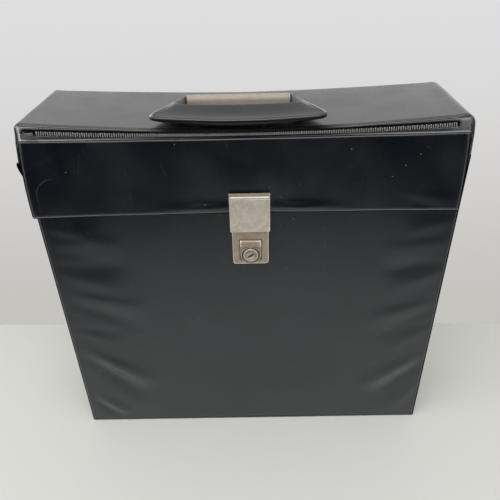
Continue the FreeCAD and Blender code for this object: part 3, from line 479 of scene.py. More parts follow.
def board(name):
    """Grey chipboard with short fibres."""
    recipe = Recipe(name, (0.36, 0.31, 0.24), 0.9, specular=0.2)
    recipe.tint(recipe.ramp(recipe.noise(420, 5, (1, 1, 0.3)), 0.4, 0.65), (0.22, 0.19, 0.15), 0.6)
    recipe.tint(recipe.clouds(90, 4, 0.5, 0.7), (0.45, 0.4, 0.33), 0.4)
    recipe.shine(recipe.clouds(60, 2, 0.3, 0.7, -0.06, 0.05))
    recipe.bump(recipe.noise(700, 5), 0.00006)
    return recipe.finish()


def lining(name):
    """Thin inner sheet with a pressed grain of small cells."""
    recipe = Recipe(name, (0.022, 0.022, 0.024), 0.5, specular=0.45)
    recipe.tint(recipe.clouds(25, 4, 0.45, 0.7), (0.035, 0.035, 0.037), 0.5)
    recipe.shine(recipe.clouds(30, 3, 0.3, 0.7, -0.07, 0.08))
    recipe.bump(recipe.ramp(recipe.cells(900, feature="DISTANCE_TO_EDGE"), 0.0, 0.2), 0.00005)
    recipe.bump(recipe.noise(60, 3), 0.00015)
    return recipe.finish()


VINYL = vinyl("vinyl")
GRIP_VINYL = vinyl("grip_vinyl", (0.0035, 0.004, 0.005), 0.24, 0.78, 0.5)
# Matt black as painted shade: along outer edges and under the hem
SHADED_EDGE_VINYL = vinyl("shaded_edge_vinyl", (0.002, 0.002, 0.0025), 0.9, 0.02, 0.1)
# Matt black as painted shade: the axle in the hub, the key slot and below the plug
SHADE_BLACK = vinyl("shade_black", (0.002, 0.002, 0.002), 0.9, 0.02, 0.0)
# painted highlight: a pale line along the welds
WELD_HIGHLIGHT_VINYL = vinyl("weld_highlight_vinyl", (0.055, 0.057, 0.058), 0.4, 0.6, 0.5)
# painted highlight along the rolled hem
HEM_HIGHLIGHT_VINYL = vinyl("hem_highlight_vinyl", (0.10, 0.102, 0.105), 0.42, 0.7, 0.5)
# painted highlight on the handle's bevels and the band's right end
HIGHLIGHT_VINYL = vinyl("highlight_vinyl", (0.12, 0.118, 0.112), 0.42, 0.7, 0.5)
# painted highlight along the crest of the handle's arms
CREST_HIGHLIGHT_VINYL = vinyl("crest_highlight_vinyl", (0.34, 0.335, 0.325), 0.42, 0.7, 0.5)
# painted highlight on the band's left corner
CORNER_HIGHLIGHT_VINYL = vinyl("corner_highlight_vinyl", (0.42, 0.42, 0.425), 0.3, 0.8, 0.5)
FLAP_SCUFFS = (in_mm(-154.2, 279.0, 16.1),)
FLAP_VINYL = vinyl("flap_vinyl", (0.0014, 0.0031, 0.0060), 0.25, 0.74, 1.7, scuffs=FLAP_SCUFFS)
# painted highlight towards both ends and painted shade in the middle
LIT_AND_SHADED_BAND_VINYL = vinyl("lit_and_shaded_band_vinyl", lit_ends=(0.152, 0.168, 0.085), shaded_middle=(0.055, 0.11))
# painted shade: the front lip below the handle, darker and without shine in the middle
SHADED_LIP_VINYL = vinyl("shaded_lip_vinyl", (0.002, 0.0022, 0.003), 0.27, 0.74, 0.5, shaded_middle=(0.055, 0.085))
# painted highlight towards both ends and painted shade in the middle of the fold
LIT_AND_SHADED_RIDGE_VINYL = vinyl("lit_and_shaded_ridge_vinyl", (0.003, 0.003, 0.004), 0.3, 0.8, 0.5, (0.07, 0.18, 0.26), (0.0, 0.06))
# Brush lines that run level across a plate, none at all, and lines along a bar
LEVEL, PLAIN, LENGTHWISE = (1, 1, 8), (1, 1, 1), (0.4, 7, 7)
NICKEL = nickel("nickel", (0.75, 0.68, 0.585), 0.46, LEVEL)
# A darker copy of the nickel: painted shade on the lock's plate, button and ledge
LOCK_NICKEL = nickel("lock_nickel", (0.47, 0.40, 0.31), 0.46, LEVEL)
# A paler copy of the nickel: painted highlight on rims
RIM_HIGHLIGHT_NICKEL = nickel("rim_highlight_nickel", (0.95, 0.88, 0.77), 0.36, LEVEL)
RING_NICKEL = nickel("ring_nickel", (0.56, 0.50, 0.42), 0.42, PLAIN)
# A darker copy of the nickel: painted shade in the gap round the button
SHADED_GAP_NICKEL = nickel("shaded_gap_nickel", (0.17, 0.14, 0.105), 0.6, PLAIN, 0.3)
# Dark nickel: painted shade in grooves and under the ledge, and the handle's rivets
GRIME_AND_SHADE = nickel("grime_and_shade", (0.045, 0.036, 0.028), 0.7, PLAIN, 0.1)
RUNNER_METAL = nickel("runner_metal", (0.10, 0.10, 0.10), 0.5, PLAIN, 0.4)
BAR_NICKEL = nickel("bar_nickel", (0.30, 0.26, 0.215), 0.6, LENGTHWISE, 0.1)
# A darker copy of the nickel: painted shade on the roll and its pin
SHADED_NICKEL = nickel("shaded_nickel", (0.20, 0.172, 0.142), 0.8, LENGTHWISE, 0.0)
ZIP_METAL = zip_metal("zip_metal")
TAPE = tape("zip_tape")
LINING = lining("lining")
SLOT_MATERIALS = {
    "vinyl": VINYL, "board": board("board"), "lining": LINING, "zip_tape": TAPE, "zip_metal": ZIP_METAL,
    "handle_vinyl": GRIP_VINYL, "steel": steel("steel"), "nickel": NICKEL,
}
OWN_MATERIALS = {
    # the axle is painted black as shade inside the hub
    "handle_bracket": BAR_NICKEL, "handle_axle": SHADE_BLACK, "handle_rivets": GRIME_AND_SHADE, "zip_end_stops": RUNNER_METAL,
    "hasp_pin": SHADED_NICKEL, "hasp_leaf": SHADED_NICKEL, "hasp_rivets": SHADED_NICKEL,
}


def dress_nodes():
    """Every node takes a material of its own or that of its slot."""
    slots = {part["node"]: part["material_slot"] for part in frame["record"]["subparts"]}
    for name, node in NODES.items():
        material = OWN_MATERIALS.get(name, SLOT_MATERIALS[slots[name]])
        if not node.material_slots:
            node.data.materials.append(material)
        for slot in node.material_slots:
            slot.material = material


# The case: sheets over board

# Creases pressed into the front: the two ends, across and up, and the half width in mm, then the slope,
# which is above zero where the sheet leans down and so shows light
FRONT_FOLDS = (
    ((-170, 104), (-104, 46), 14.0, 0.40),
    ((-170, 40), (-138, 4), 9.0, 0.34),
    ((-172, 173), (-96, 145), 13.0, 0.17),
    ((-174, 134), (-124, 121), 8.0, -0.15),
    ((-176, 206), (-108, 190), 14.0, -0.11),
    ((-174, 228), (-104, 219), 13.0, 0.08),
    ((-176, 254), (-124, 248), 13.0, -0.12),
    ((178, 158), (112, 126), 13.0, 0.19),
    ((178, 92), (118, 36), 14.0, 0.36),
    ((182, 138), (130, 106), 10.0, -0.14),
    ((176, 62), (142, 14), 10.0, -0.18),
    ((182, 203), (120, 184), 14.0, -0.11),
    ((182, 224), (114, 206), 13.0, 0.06),
    ((180, 253), (128, 247), 12.0, -0.08),
)
FRONT_HALF = HALF + 1.6 * MM
FRONT_SHIFT = 0.4 * MM
FLARE = 4.6 * MM
FLARE_START = RIM - 24 * MM
FLARE_END = RIM - 2 * MM
FLARE_REACH = 14 * MM
LOWER_EDGE = 1.2 * MM


def crease(across, up, start, end, width):
    """A step in height across a line, which widens along it and dies away towards both of its ends."""
    run = Vector(end) - Vector(start)
    ahead = Vector((across, up)) - Vector(start)
    along = ahead.dot(run) / run.length_squared
    if not 0 < along < 1:
        return 0
    above = (ahead.y * run.x - ahead.x * run.y) / run.length * math.copysign(1, run.x)
    spread = width * (0.5 + 0.8 * along)
    return above * math.exp(-abs(above / spread) ** 3) * math.sin(math.pi * along)


def front_relief(across, up):
    """The creases, a slight swell and waves, and the weld line inside each edge, worked out in mm."""
    x, z = across / MM, (up + RIM / 2) / MM
    rise = sum(slope * crease(x, z, start, end, width) for start, end, width, slope in FRONT_FOLDS)
    rise *= smooth_step(z, 1, 16)
    inside = 1 - (x / 176) ** 4
    swell = 0.3 * inside * math.sin(math.pi * min(z / 240, 1)) ** 2
    waves = 0.12 * math.sin(x / 29 + z / 47) * math.sin(z / 38) * inside
    from_edge = FRONT_HALF / MM - abs(x)
    weld = 0.22 * bell(from_edge - 3.6, 0.7) - 0.15 * bell(from_edge - 5.2, 0.8)
    weld_low = 0.3 * bell(z - 1.6, 0.8) - 0.2 * bell(z - 3.2, 0.8)
    return (rise + swell + waves + weld + weld_low) * MM


def case_front():
    """The front, whose left edge stands out a little at the rim."""

    def place(across, up, out):
        x, z = across + FRONT_SHIFT, up + RIM / 2
        flare = FLARE * smooth_step(z, FLARE_START, FLARE_END) ** 1.3
        x -= flare * smooth_step(-x, FRONT_HALF - FLARE_REACH, FRONT_HALF)
        return Vector((x, FRONT - out, z))

    def from_edge(face):
        return FRONT_HALF - abs(face.center.x - FRONT_SHIFT)

    def lower_edge(face):
        return face.center.z < LOWER_EDGE and face.center.y < FRONT + LOWER_EDGE

    piece = panel("case_front", place, FRONT_HALF, RIM / 2, corner=1.6 * MM, edge=1.2 * MM, depth=WALL,
                  step=2.4 * MM, relief=front_relief, near_edge=in_mm(0.4, 0.9, 1.5, 2.7, 3.6, 4.8))
    finish_piece(piece, VINYL, "case", "vinyl", "front_cover", "front_board")
    # painted highlight along the weld inside each edge
    recolour(piece, WELD_HIGHLIGHT_VINYL, lambda face: EDGE_STRIP < from_edge(face) < EDGE_STRIP + WELD_STRIP)
    # painted shade: a dark strip along each outer edge
    recolour(piece, SHADED_EDGE_VINYL, lambda face: from_edge(face) < EDGE_STRIP)
    # painted highlight along the bottom edge
    recolour(piece, WELD_HIGHLIGHT_VINYL, lower_edge)


def case_back():
    top = high("back_cover").z

    def relief(across, up):
        return 0.4 * MM * (1 - (across / HALF) ** 4) * (1 - (2 * up / top) ** 4)

    def place(across, up, out):
        return Vector((across, BACK + out, up + top / 2))

    piece = panel("case_back", place, HALF, top / 2, corner=3.2 * MM, edge=0.8 * MM, depth=WALL,
                  step=6 * MM, relief=relief)
    finish_piece(piece, VINYL, "case", "vinyl", "back_cover", "back_board")


def case_sides():
    """Both sides, which swell a little and gather beside their front and back edges."""
    bottom = low("left_cover").z
    half_height = (RIM - bottom) / 2
    half_depth = high("left_cover").y
    thick = high("left_board").x - low("left_cover").x

    def relief(across, up):
        swell = 0.6 * (1 - (across / half_depth) ** 2) * (1 - (up / half_height) ** 4)
        gather = 0.25 * math.sin(up / MM / 17) * bell(abs(across / MM) - 38, 9)
        return (swell + gather) * MM

    for name, sign in (("left", -1), ("right", 1)):

        def place(across, up, out):
            return Vector((sign * (SIDE + out), across, up + half_height + bottom))

        piece = panel(f"case_{name}", place, half_depth, half_height, corner=1.6 * MM, edge=0.8 * MM,
                      depth=thick, step=4 * MM, relief=relief)
        finish_piece(piece, VINYL, "case", "vinyl", f"{name}_cover", f"{name}_board")


# The lid: the sagging top with its rounded rim, the skirts and the vinyl hinge

SAG = 8.2 * MM
REAR_SAG = 5.4 * MM
SAG_CURVE = 1.6
TOP_MIDDLE = 331.4 * MM
TOP_MIDDLE_BACK = 333.3 * MM
TOP_HALF = HALF - 0.6 * MM
LEFT_SHOULDER = 4.5 * MM
RIGHT_SHOULDER = 7.6 * MM
LEFT_OUT = 0.9 * MM
RIGHT_OUT = 0.9 * MM
RIGHT_OUT_BACK = 3.0 * MM
FRONT_ROUND = 1.4 * MM
LIP_DEPTH = 5 * MM
LIP_HALF = HALF - 20 * MM
LEFT_ROUND = 2.6 * MM
RIGHT_ROUND = 3.7 * MM
SKIRT_BOTTOM = low("lid_left_cover").z
SKIRT_BACK = high("lid_left_cover").y - 4.2 * MM
LEAN_TOP = RIM + 23 * MM
LEAN_REACH = 14 * MM
LEFT_LEAN = 0.13
RIGHT_LEAN = 0.05
FRONT_LEAN = 0.22
WRAP = 0.35 * MM


def top_level(across, along):
    """The height of the top, which sags more in front than behind and dips along its front edge."""
    share = smooth_step(along, TOP_FRONT, TOP_BACK)
    middle = TOP_MIDDLE + (TOP_MIDDLE_BACK - TOP_MIDDLE) * share
    sag = SAG + (REAR_SAG - SAG) * share
    side = min(abs(across) / TOP_HALF, 1)
    dip = 0.34 * MM * bell((along - TOP_FRONT) / MM - 2.7, 0.5)
    return middle + sag * side ** SAG_CURVE - dip


def rounding(distance, radius):
    """How far a quarter-round edge has fallen back at a distance from its end."""
    if distance >= radius:
        return 0
    return radius - math.sqrt(radius ** 2 - (radius - distance) ** 2)


def leaning(x, along, z):
    """The lid's sides lean outwards towards their foot, and stand a little over the case."""
    side = smooth_step(abs(x), TOP_HALF - LEAN_REACH, TOP_HALF)
    below = max(0, LEAN_TOP - z)
    if x < 0:
        return x - (LEFT_LEAN * below + LEFT_OUT) * side
    back = smooth_step(along, TOP_FRONT, TOP_BACK)
    return x + (RIGHT_LEAN * below + RIGHT_OUT + (RIGHT_OUT_BACK - RIGHT_OUT) * back) * side


def leaning_back(along, z):
    """The lid's front leans back above the fold."""
    share = 1 - smooth_step(along - TOP_FRONT, 2 * MM, 16 * MM)
    return along + FRONT_LEAN * max(0, z - LID_BASE) * share


def lid_outline(along):
    """The top and both sides at a station, from the left foot to the right foot."""
    side_steps, top_steps = 8, 90
    over = along - TOP_FRONT
    inset = rounding(over, FRONT_ROUND)
    foot = SKIRT_BOTTOM if WRAP < over and along < SKIRT_BACK else LID_BASE
    sides = []
    for round_front, radius in ((LEFT_ROUND, LEFT_SHOULDER), (RIGHT_ROUND, RIGHT_SHOULDER)):
        half = TOP_HALF - rounding(over, round_front)
        shoulder = top_level(half, along) - inset
        start = shoulder - radius
        points = [(half, foot + (start - foot) * index / side_steps) for index in range(side_steps + 1)]
        for index in range(1, side_steps + 1):
            angle = math.pi / 2 * index / side_steps
            points.append((half - radius * (1 - math.cos(angle)), start + radius * math.sin(angle)))
        sides.append(points)
    left = [(-x, z) for x, z in sides[0]]
    right = sides[1]
    top = []
    for index in range(1, top_steps):
        x = left[-1][0] + (right[-1][0] - left[-1][0]) * index / top_steps
        top.append((x, top_level(x, along) - inset))
    return left + top + right[::-1]


def lid_top():
    """The stations get closer towards the front edge, and come in pairs where the skirts start and end."""
    near, nearest = 14 * MM, 7 * MM
    back_steps, front_steps = 24, 28
    start = TOP_FRONT + near
    stations = {TOP_BACK + (start - TOP_BACK) * index / back_steps for index in range(back_steps)}
    stations |= {start - step * MM for step in range(7)}
    for index in range(front_steps + 1):
        stations.add(TOP_FRONT + nearest * (1 - math.sin(math.pi / 2 * index / front_steps)))
    for end, apart in ((SKIRT_BACK, 0.05 * MM), (TOP_FRONT + WRAP, 0.01 * MM)):
        stations |= {end + apart, end - apart}
    stations = sorted(stations, reverse=True)
    outlines = [lid_outline(along) for along in stations]
    points = []
    for along, outline in zip(stations, outlines):
        points += [Vector((leaning(x, along, z), leaning_back(along, z), z)) for x, z in outline]
    columns = len(outlines[0])
    piece = add_piece("lid_top", points, grid_faces(columns, len(stations)), 60)
    thicken(piece, COVER)
    finish_piece(piece, VINYL, "lid", "vinyl", "lid_top_cover", "lid_left_cover", "lid_right_cover",
                 "lid_top_board")

    def front_lip(face):
        row = face.index // (columns - 1) % (len(stations) - 1)
        return stations[row] < TOP_FRONT + LIP_DEPTH and abs(face.center.x) < LIP_HALF

    # painted shade on the front lip below the handle
    recolour(piece, SHADED_LIP_VINYL, front_lip)


def lid_side_linings():
    """The turned-in hem and the board inside each side of the lid."""
    inner = high("lid_left_cover").x
    thick = abs(low("lid_left_board").x - inner)
    for name, sign in (("left", -1), ("right", 1)):
        bottom = low(f"lid_{name}_board").z
        start, end = low(f"lid_{name}_board").y + 3 * MM, SKIRT_BACK - 0.6 * MM
        half_depth, half_height = (end - start) / 2, (LID_BASE - bottom) / 2

        def relief(across, up):
            return 0.15 * MM * math.sin(across / MM / 9) * bell(up / half_height + 1, 0.6)

        def place(across, up, out):
            return Vector((-sign * (inner + out), across + start + half_depth, up + bottom + half_height))

        piece = panel(f"lid_lining_{name}", place, half_depth, half_height, corner=1.2 * MM, edge=0.6 * MM,
                      depth=thick, step=3 * MM, relief=relief)
        finish_piece(piece, LINING, "lid", "lining", f"lid_{name}_board")


def vinyl_hinge():
    """One sheet from the back of the case to the back of the lid, with a shallow hollow along the hinge
    line.
    """
    bottom = low("hinge_strip_case").z
    face = high("hinge_strip_case").y
    columns, rows = 60, 40
    draw_in, draw_height = 7 * MM, 8 * MM
    points = []
    for row in range(rows):
        for column in range(columns):
            side_share = 2 * column / (columns - 1) - 1
            top = top_level(SIDE * side_share, BACK) - 1.2 * MM
            z = bottom + (top - bottom) * row / (rows - 1)
            x = side_share * (SIDE - draw_in * smooth_step(z, top - draw_height, top))
            hollow = 0.35 * MM * bell((z - HINGE.z) / MM, 2.5)
            edge_drop = 0.5 * MM * bell((z - bottom) / MM, 0.8)
            points.append(Vector((x, face - hollow - edge_drop, z)))
    outer = len(points)
    points += [Vector((point.x, BACK, point.z)) for point in points]
    faces = grid_faces(columns, rows)
    faces += [tuple(index + outer for index in reversed(corners)) for corners in faces]
    rim = grid_rim(columns, rows)
    for here, after in zip(rim, rim[1:] + rim[:1]):
        faces.append((after, here, here + outer, after + outer))
    piece = add_piece("vinyl_hinge", points, faces)
    piece.data.materials.append(VINYL)
    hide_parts("hinge_strip_case", "hinge_strip_lid")
    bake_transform(piece)


# The band above the fold, with the window of the zip

ZIP_CENTRE = joint_place("zip_travel")
TEETH_HALF = 1.55 * MM
ZIP_RADIUS = ZIP_CENTRE.z - low("zip_teeth").z - 1.6 * MM
SLOT_BELOW = 1.5 * MM
SLOT_BELOW_MIDDLE = 1.3 * MM
SLOT_ABOVE = 4.2 * MM
SLOT_LEFT = low("zip_teeth").x - 11.0 * MM
SLOT_RIGHT = high("zip_teeth").x + 1.6 * MM
BAND_STEPS = 170
TURN_IN = 0.5 * MM
LIT_END = 1.9 * MM
RIDGE_TOP = 0.85 * MM
THIN = 0.5 * MM
# The fold's rounded ridge, the groove behind it and the slope: how far up and how far back, in mm
RIDGE_ROWS = ((0, 0.5), (0.2, 0.15), (0.5, 0), (0.85, 0.12), (1.15, 0.4), (1.5, 0.5), (1.9, 0.44))
RIDGE_FRONT = FLAP_FRONT + 0.6 * MM
RIDGE_END = RIDGE_ROWS[-1][0] * MM
SLOPE_FRONT = RIDGE_FRONT + RIDGE_ROWS[-1][1] * MM
# The rest of the way up to the window, and on up from it: shares of the way, and how far the row turns in
SLOPE_SHARES = ((0.35, 0), (0.7, 0), (0.95, 0), (1, 0.4), (1, 1))
ABOVE_SHARES = ((0, 1), (0, 0.4), (0.08, 0), (0.4, 0), (1, 0))


def zip_level(across):
    return ZIP_CENTRE.z - math.sqrt(ZIP_RADIUS ** 2 - across ** 2)


def ridge_level(across):
    """The height of the fold, which stands higher towards its ends."""
    return LID_BASE + 0.5 * MM + 0.9 * MM * (across / HALF) ** 2


def slot_share(across):
    """How open the window is at a place, which is rounded at both ends."""
    inside = min(across - SLOT_LEFT, SLOT_RIGHT - across)
    if inside <= 0:
        return 0.0
    share = min(inside / SLOT_ABOVE, 1)
    return math.sqrt(1 - (1 - share) ** 2)


def ridge_point(x, up, back):
    """A point of the ridge, which lies further back beyond both ends of the window."""
    z = ridge_level(x) + up * MM
    ends = smooth_step(min(x - SLOT_LEFT, SLOT_RIGHT - x), -2 * MM, 6 * MM)
    y = RIDGE_FRONT + back * MM + (TOP_FRONT - RIDGE_FRONT) * (1 - ends) * 0.6
    return Vector((x, leaning_back(y, z), z))


def sheet_point(x, y, start, end, up_share, turned):
    """A point between two heights, turned inwards at the window."""
    depth = TURN_IN * turned if slot_share(x) > 0 else 0
    z = start + (end - start) * up_share
    return Vector((x, leaning_back(y, z) + depth, z))


def slope_point(x, up_share, turned):
    start = ridge_level(x) + RIDGE_END
    end = max(zip_level(x) - (SLOT_BELOW + SLOT_BELOW_MIDDLE * bell(x, 80 * MM)) * slot_share(x), start)
    return sheet_point(x, SLOPE_FRONT, start, end, up_share, turned)


def above_point(x, up_share, turned):
    end = top_level(x, TOP_FRONT) - FRONT_ROUND
    above = SLOT_ABOVE - 1.3 * MM * (x / HALF) ** 2
    start = min(zip_level(x) + above * slot_share(x), end - 0.1 * MM)
    return sheet_point(x, TOP_FRONT, start, end, up_share, turned)


def lid_band():
    """The sheet round the window: it slopes back from the fold to the teeth, then stands under the top."""
    left = -(TOP_HALF - LEFT_ROUND) - LEFT_OUT
    right = TOP_HALF - RIGHT_ROUND + RIGHT_OUT
    places = {left + (right - left) * index / BAND_STEPS for index in range(BAND_STEPS + 1)}
    for end, inward in ((SLOT_LEFT, 1), (SLOT_RIGHT, -1)):
        places |= {end + inward * SLOT_ABOVE * share for share in (0, 0.03, 0.1, 0.2, 0.35, 0.55, 0.75, 1)}
    places = sorted(places)
    points = []
    for point, rows in ((ridge_point, RIDGE_ROWS), (slope_point, SLOPE_SHARES), (above_point, ABOVE_SHARES)):
        for row in rows:
            points += [point(x, *row) for x in places]
    count = len(places)
    lower = len(RIDGE_ROWS) + len(SLOPE_SHARES)
    faces = grid_faces(count, lower) + grid_faces(count, len(ABOVE_SHARES), lower * count)
    for column in range(count - 1):
        if slot_share(places[column]) == 0 and slot_share(places[column + 1]) == 0:
            corner = (lower - 1) * count + column
            faces.append((corner, corner + 1, corner + count + 1, corner + count))
    piece = add_piece("lid_band", points, faces, 60)
    thicken(piece, THIN)
    # the band's sheet carries a painted highlight at its ends and painted shade in its middle
    finish_piece(piece, LIT_AND_SHADED_BAND_VINYL, "lid", "vinyl", "lid_front_band")
    # painted highlight on the left corner of the band
    recolour(piece, CORNER_HIGHLIGHT_VINYL, lambda face: face.center.x < left + LIT_END)
    # painted highlight on the right end of the band
    recolour(piece, HIGHLIGHT_VINYL, lambda face: face.center.x > right - LIT_END)
    # painted highlight and shade along the fold's ridge
    recolour(piece, LIT_AND_SHADED_RIDGE_VINYL, lambda face: face.center.z < ridge_level(face.center.x) + RIDGE_TOP)


def zip_teeth():
    """Two rows of cast teeth that reach past each other, each with a rounded head."""
    pitch = 1.75 * MM
    half_width = 0.46 * MM
    start, end = low("zip_teeth").x, high("zip_teeth").x
    back, face = high("zip_teeth").y, low("zip_teeth").y + 0.4 * MM
    levels = ((back, 1), (face + 0.3 * MM, 1), (face, 0.75))
    # Across and up shares of a tooth's outline, from its foot to its head
    outline_shares = ((-0.8, -1), (-1, -0.6), (-0.8, 0.45), (-1, 0.75), (-0.6, 1),
                      (0.6, 1), (1, 0.75), (0.8, 0.45), (1, -0.6), (0.8, -1))
    points, faces = [], []
    for index in range(int((end - start) / pitch)):
        x = start + pitch * (index + 0.5)
        direction = 1 if index % 2 else -1
        tilt = x / ZIP_RADIUS
        middle = zip_level(x)
        faces += tube_faces(len(outline_shares), len(levels), len(points))
        for depth, shrink in levels:
            for share_x, share_z in outline_shares:
                local_x = share_x * half_width * shrink
                local_z = (share_z * TEETH_HALF * shrink - 0.12 * MM) * direction
                z = middle + local_z + local_x * tilt
                points.append(Vector((x + local_x - local_z * tilt, leaning_back(depth, z), z)))
    piece = add_piece("zip_teeth_rows", points, faces)
    finish_piece(piece, ZIP_METAL, "lid", "zip_metal", "zip_teeth")


def zip_tapes():
    """The two woven edges behind the teeth, which meet in the middle of the window."""
    depth = high("zip_teeth").y - 0.3 * MM
    steps = 120
    inner_mm, width_mm = 0.2, 3.6
    up_shares = (0, 0.3, 0.7, 1)
    for name, side in (("lower", -1), ("upper", 1)):
        points = []
        for share in up_shares:
            for index in range(steps + 1):
                x = SLOT_LEFT + (SLOT_RIGHT - SLOT_LEFT) * index / steps
                z = zip_level(x) + side * (inner_mm + width_mm * share) * MM
                points.append(Vector((x, leaning_back(depth, z) - 0.12 * MM * share * side, z)))
        piece = add_piece(f"zip_tape_{name}_cloth", points, grid_faces(steps + 1, len(up_shares)))
        thicken(piece, THIN)
        finish_piece(piece, TAPE, "lid", "zip_tape", f"zip_tape_{name}")


def zip_slider():
    """The slider with its raised bridge."""
    front = low("zip_slider").y
    centre = (low("zip_slider") + high("zip_slider")) / 2

    def bridge(across, up):
        return 0.5 * MM * bell(up / MM, 0.8) * bell(across / MM, 2.2)

    body = front_panel("zip_slider_body", (centre.x, front + 0.6 * MM, centre.z), 3.4 * MM, 1.6 * MM,
                       corner=1.0 * MM, edge=0.5 * MM, depth=1.8 * MM, step=0.5 * MM, relief=bridge)
    finish_piece(body, RUNNER_METAL, "zip_slider", "zip_metal", "zip_slider")


def zip_pull():
    """The short pull that hangs from the slider, pressed hollow."""
    pivot = joint_place("pull_swing")
    half_width, half_height = 3.6 * MM, 1.1 * MM

    def hollow(across, up):
        inside_x = smooth_step(half_width - abs(across), 0.8 * MM, 1.3 * MM)
        inside_z = smooth_step(half_height - abs(up), 0.5 * MM, 0.9 * MM)
        return -0.3 * MM * (inside_x * inside_z)

    middle = (pivot.x - half_width + 1.2 * MM, low("zip_pull").y + 0.8 * MM, pivot.z)
    tag = front_panel("zip_pull_tag", middle, half_width, half_height, corner=0.8 * MM, edge=0.25 * MM,
                      depth=0.8 * MM, step=0.4 * MM, relief=hollow)
    finish_piece(tag, RUNNER_METAL, "zip_pull", "zip_metal", "zip_pull")


# The front flap

def flap():
    """The sides draw in towards the fold, and the hem is rolled and pulled in at the latch."""
    fold_half, hem_half = 173.6 * MM, 177.7 * MM
    half_height = (LID_BASE - FLAP_BOTTOM) / 2
    centre_z = FLAP_BOTTOM + half_height

    def half_at(share):
        return hem_half + (fold_half - hem_half) * max(share, 0) ** 2.5

    def aside_at(share):
        return (1.6 - 0.7 * share) * MM

    def hem_rise(across):
        return 1.7 * MM * (1 - min(abs(across) / hem_half, 1) ** 2)

    def relief(across, up):
        """In mm: pulled in at the latch, puffed beside it, wavy, creased, rolled at the hem and welded."""
        x, z = across / MM, (up + centre_z) / MM
        hem = (up + half_height) / MM
        pulled = -1.0 * bell((x - 2.7) / 30, 1) * bell((z - 262) / 20, 1)
        puffed = 1.3 * (bell((x + 34) / 22, 1) + bell((x - 44) / 24, 1)) * bell((hem - 6) / 4, 1)
        wave = 0.25 * math.sin(x / 41 + 0.6) * bell((z - 285) / 26, 1) + 0.12 * math.sin(x / 13 + z / 31)
        creases = 0.10 * crease(x, z, (-182, 300), (-140, 318), 5)
        creases += 0.06 * crease(x, z, (120, 276), (178, 262), 7)
        roll = -rounding(hem, 3.8) * 0.62
        side_weld = 0.2 * bell(174.4 - abs(x), 0.6) - 0.2 * bell(173.0 - abs(x), 0.7)
        return (pulled + puffed + wave + creases + roll + side_weld) * MM

    def place(across, up, out):
        share = (up + half_height) / (2 * half_height)
        x = across / hem_half * half_at(share) - aside_at(share)
        ridge = (ridge_level(x) - LID_BASE) * smooth_step(share, 0.6, 1)
        return Vector((x, FLAP_FRONT - out, centre_z + up + hem_rise(across) * (1 - share) + ridge))

    def from_edge(face):
        share = (face.center.z - FLAP_BOTTOM) / (2 * half_height)
        return half_at(share) - abs(face.center.x + aside_at(share))

    def above_hem(face):
        """How far a face is above the lower edge of the flap."""
        return face.center.z - FLAP_BOTTOM - hem_rise(face.center.x)

    def side_edge(face):
        return from_edge(face) < EDGE_STRIP and face.center.z < LID_BASE - 3 * MM

    piece = panel("front_flap", place, hem_half, half_height, corner=1.5 * MM, edge=1.3 * MM,
                  depth=FLAP_DEPTH, step=2.2 * MM, relief=relief,
                  near_edge=in_mm(0.3, 0.6, 0.9, 1.2, 1.6, 2.0, 2.6, 3.4))
    finish_piece(piece, FLAP_VINYL, "lid", "vinyl", "flap_cover", "flap_board")
    # painted highlight along the weld inside each edge
    recolour(piece, WELD_HIGHLIGHT_VINYL, lambda face: EDGE_STRIP < from_edge(face) < EDGE_STRIP + WELD_STRIP)
    # painted shade: a dark strip along each side edge
    recolour(piece, SHADED_EDGE_VINYL, side_edge)
    # painted highlight along the rolled hem
    recolour(piece, HEM_HIGHLIGHT_VINYL, lambda face: above_hem(face) < HEM_STRIP + WELD_STRIP)
    # painted shadow: a dark line under the hem
    recolour(piece, SHADED_EDGE_VINYL, lambda face: above_hem(face) < HEM_STRIP)


# The handle, folded forward: two arms and a wide grip whose top slopes down to its front lip

HANDLE = joint_place("handle_fold")
# Half of the ring seen from above, from the hub to the middle of the front, in mm: across and along of its
# outer edge, inner crest and inner foot, the heights of foot, outer lip and crest, and the rounding
GRIP_STATIONS = (
    (44.6, 4.4, 43.2, 4.3, 42.9, 4.2, -4.3, 3.0, 3.3, 0.7),
    (45.3, 1.0, 43.3, 0.8, 42.9, 0.8, -4.5, 3.5, 3.8, 1.0),
    (46.8, -3.0, 43.6, -2.6, 42.9, -2.6, -4.8, 3.7, 4.2, 1.3),
    (49.6, -8.8, 45.2, -7.5, 43.2, -7.0, -5.0, 3.7, 4.5, 1.6),
    (53.4, -14.8, 47.4, -13.0, 43.9, -12.0, -5.2, 3.2, 4.6, 1.9),
    (57.9, -20.4, 49.6, -18.0, 45.0, -17.0, -5.3, 2.5, 4.6, 2.1),
    (63.4, -27.4, 49.0, -21.6, 44.6, -20.4, -4.2, 1.6, 4.5, 2.1),
    (67.8, -33.8, 46.5, -23.4, 42.4, -22.4, -3.4, 0.7, 4.4, 1.9),
    (68.6, -37.2, 43.6, -24.4, 39.5, -23.5, -3.6, -0.1, 4.4, 1.7),
    (64.5, -40.2, 38.5, -25.2, 35.8, -24.4, -4.2, -0.7, 4.5, 1.5),
    (55.0, -42.0, 33.0, -26.0, 31.0, -25.2, -4.9, -1.0, 4.5, 1.4),
    (40.0, -43.8, 26.0, -26.8, 25.0, -26.0, -5.5, -1.2, 4.6, 1.4),
    (20.0, -45.8, 13.0, -27.8, 12.5, -27.0, -6.0, -1.4, 4.7, 1.4),
    (0.0, -46.4, 0.0, -28.0, 0.0, -27.2, -6.0, -1.4, 4.7, 1.4),
)
GRIP_ACROSS = (0, 2, 4)
GRIP_SKEW = 0.015
GRIP_STEPS = 180
ROLL_STEPS = 8
CREST_ROWS = range(6, 12)
FRONT_CORNER, INNER_CORNER = -37, -24
INNER_HALF = 56


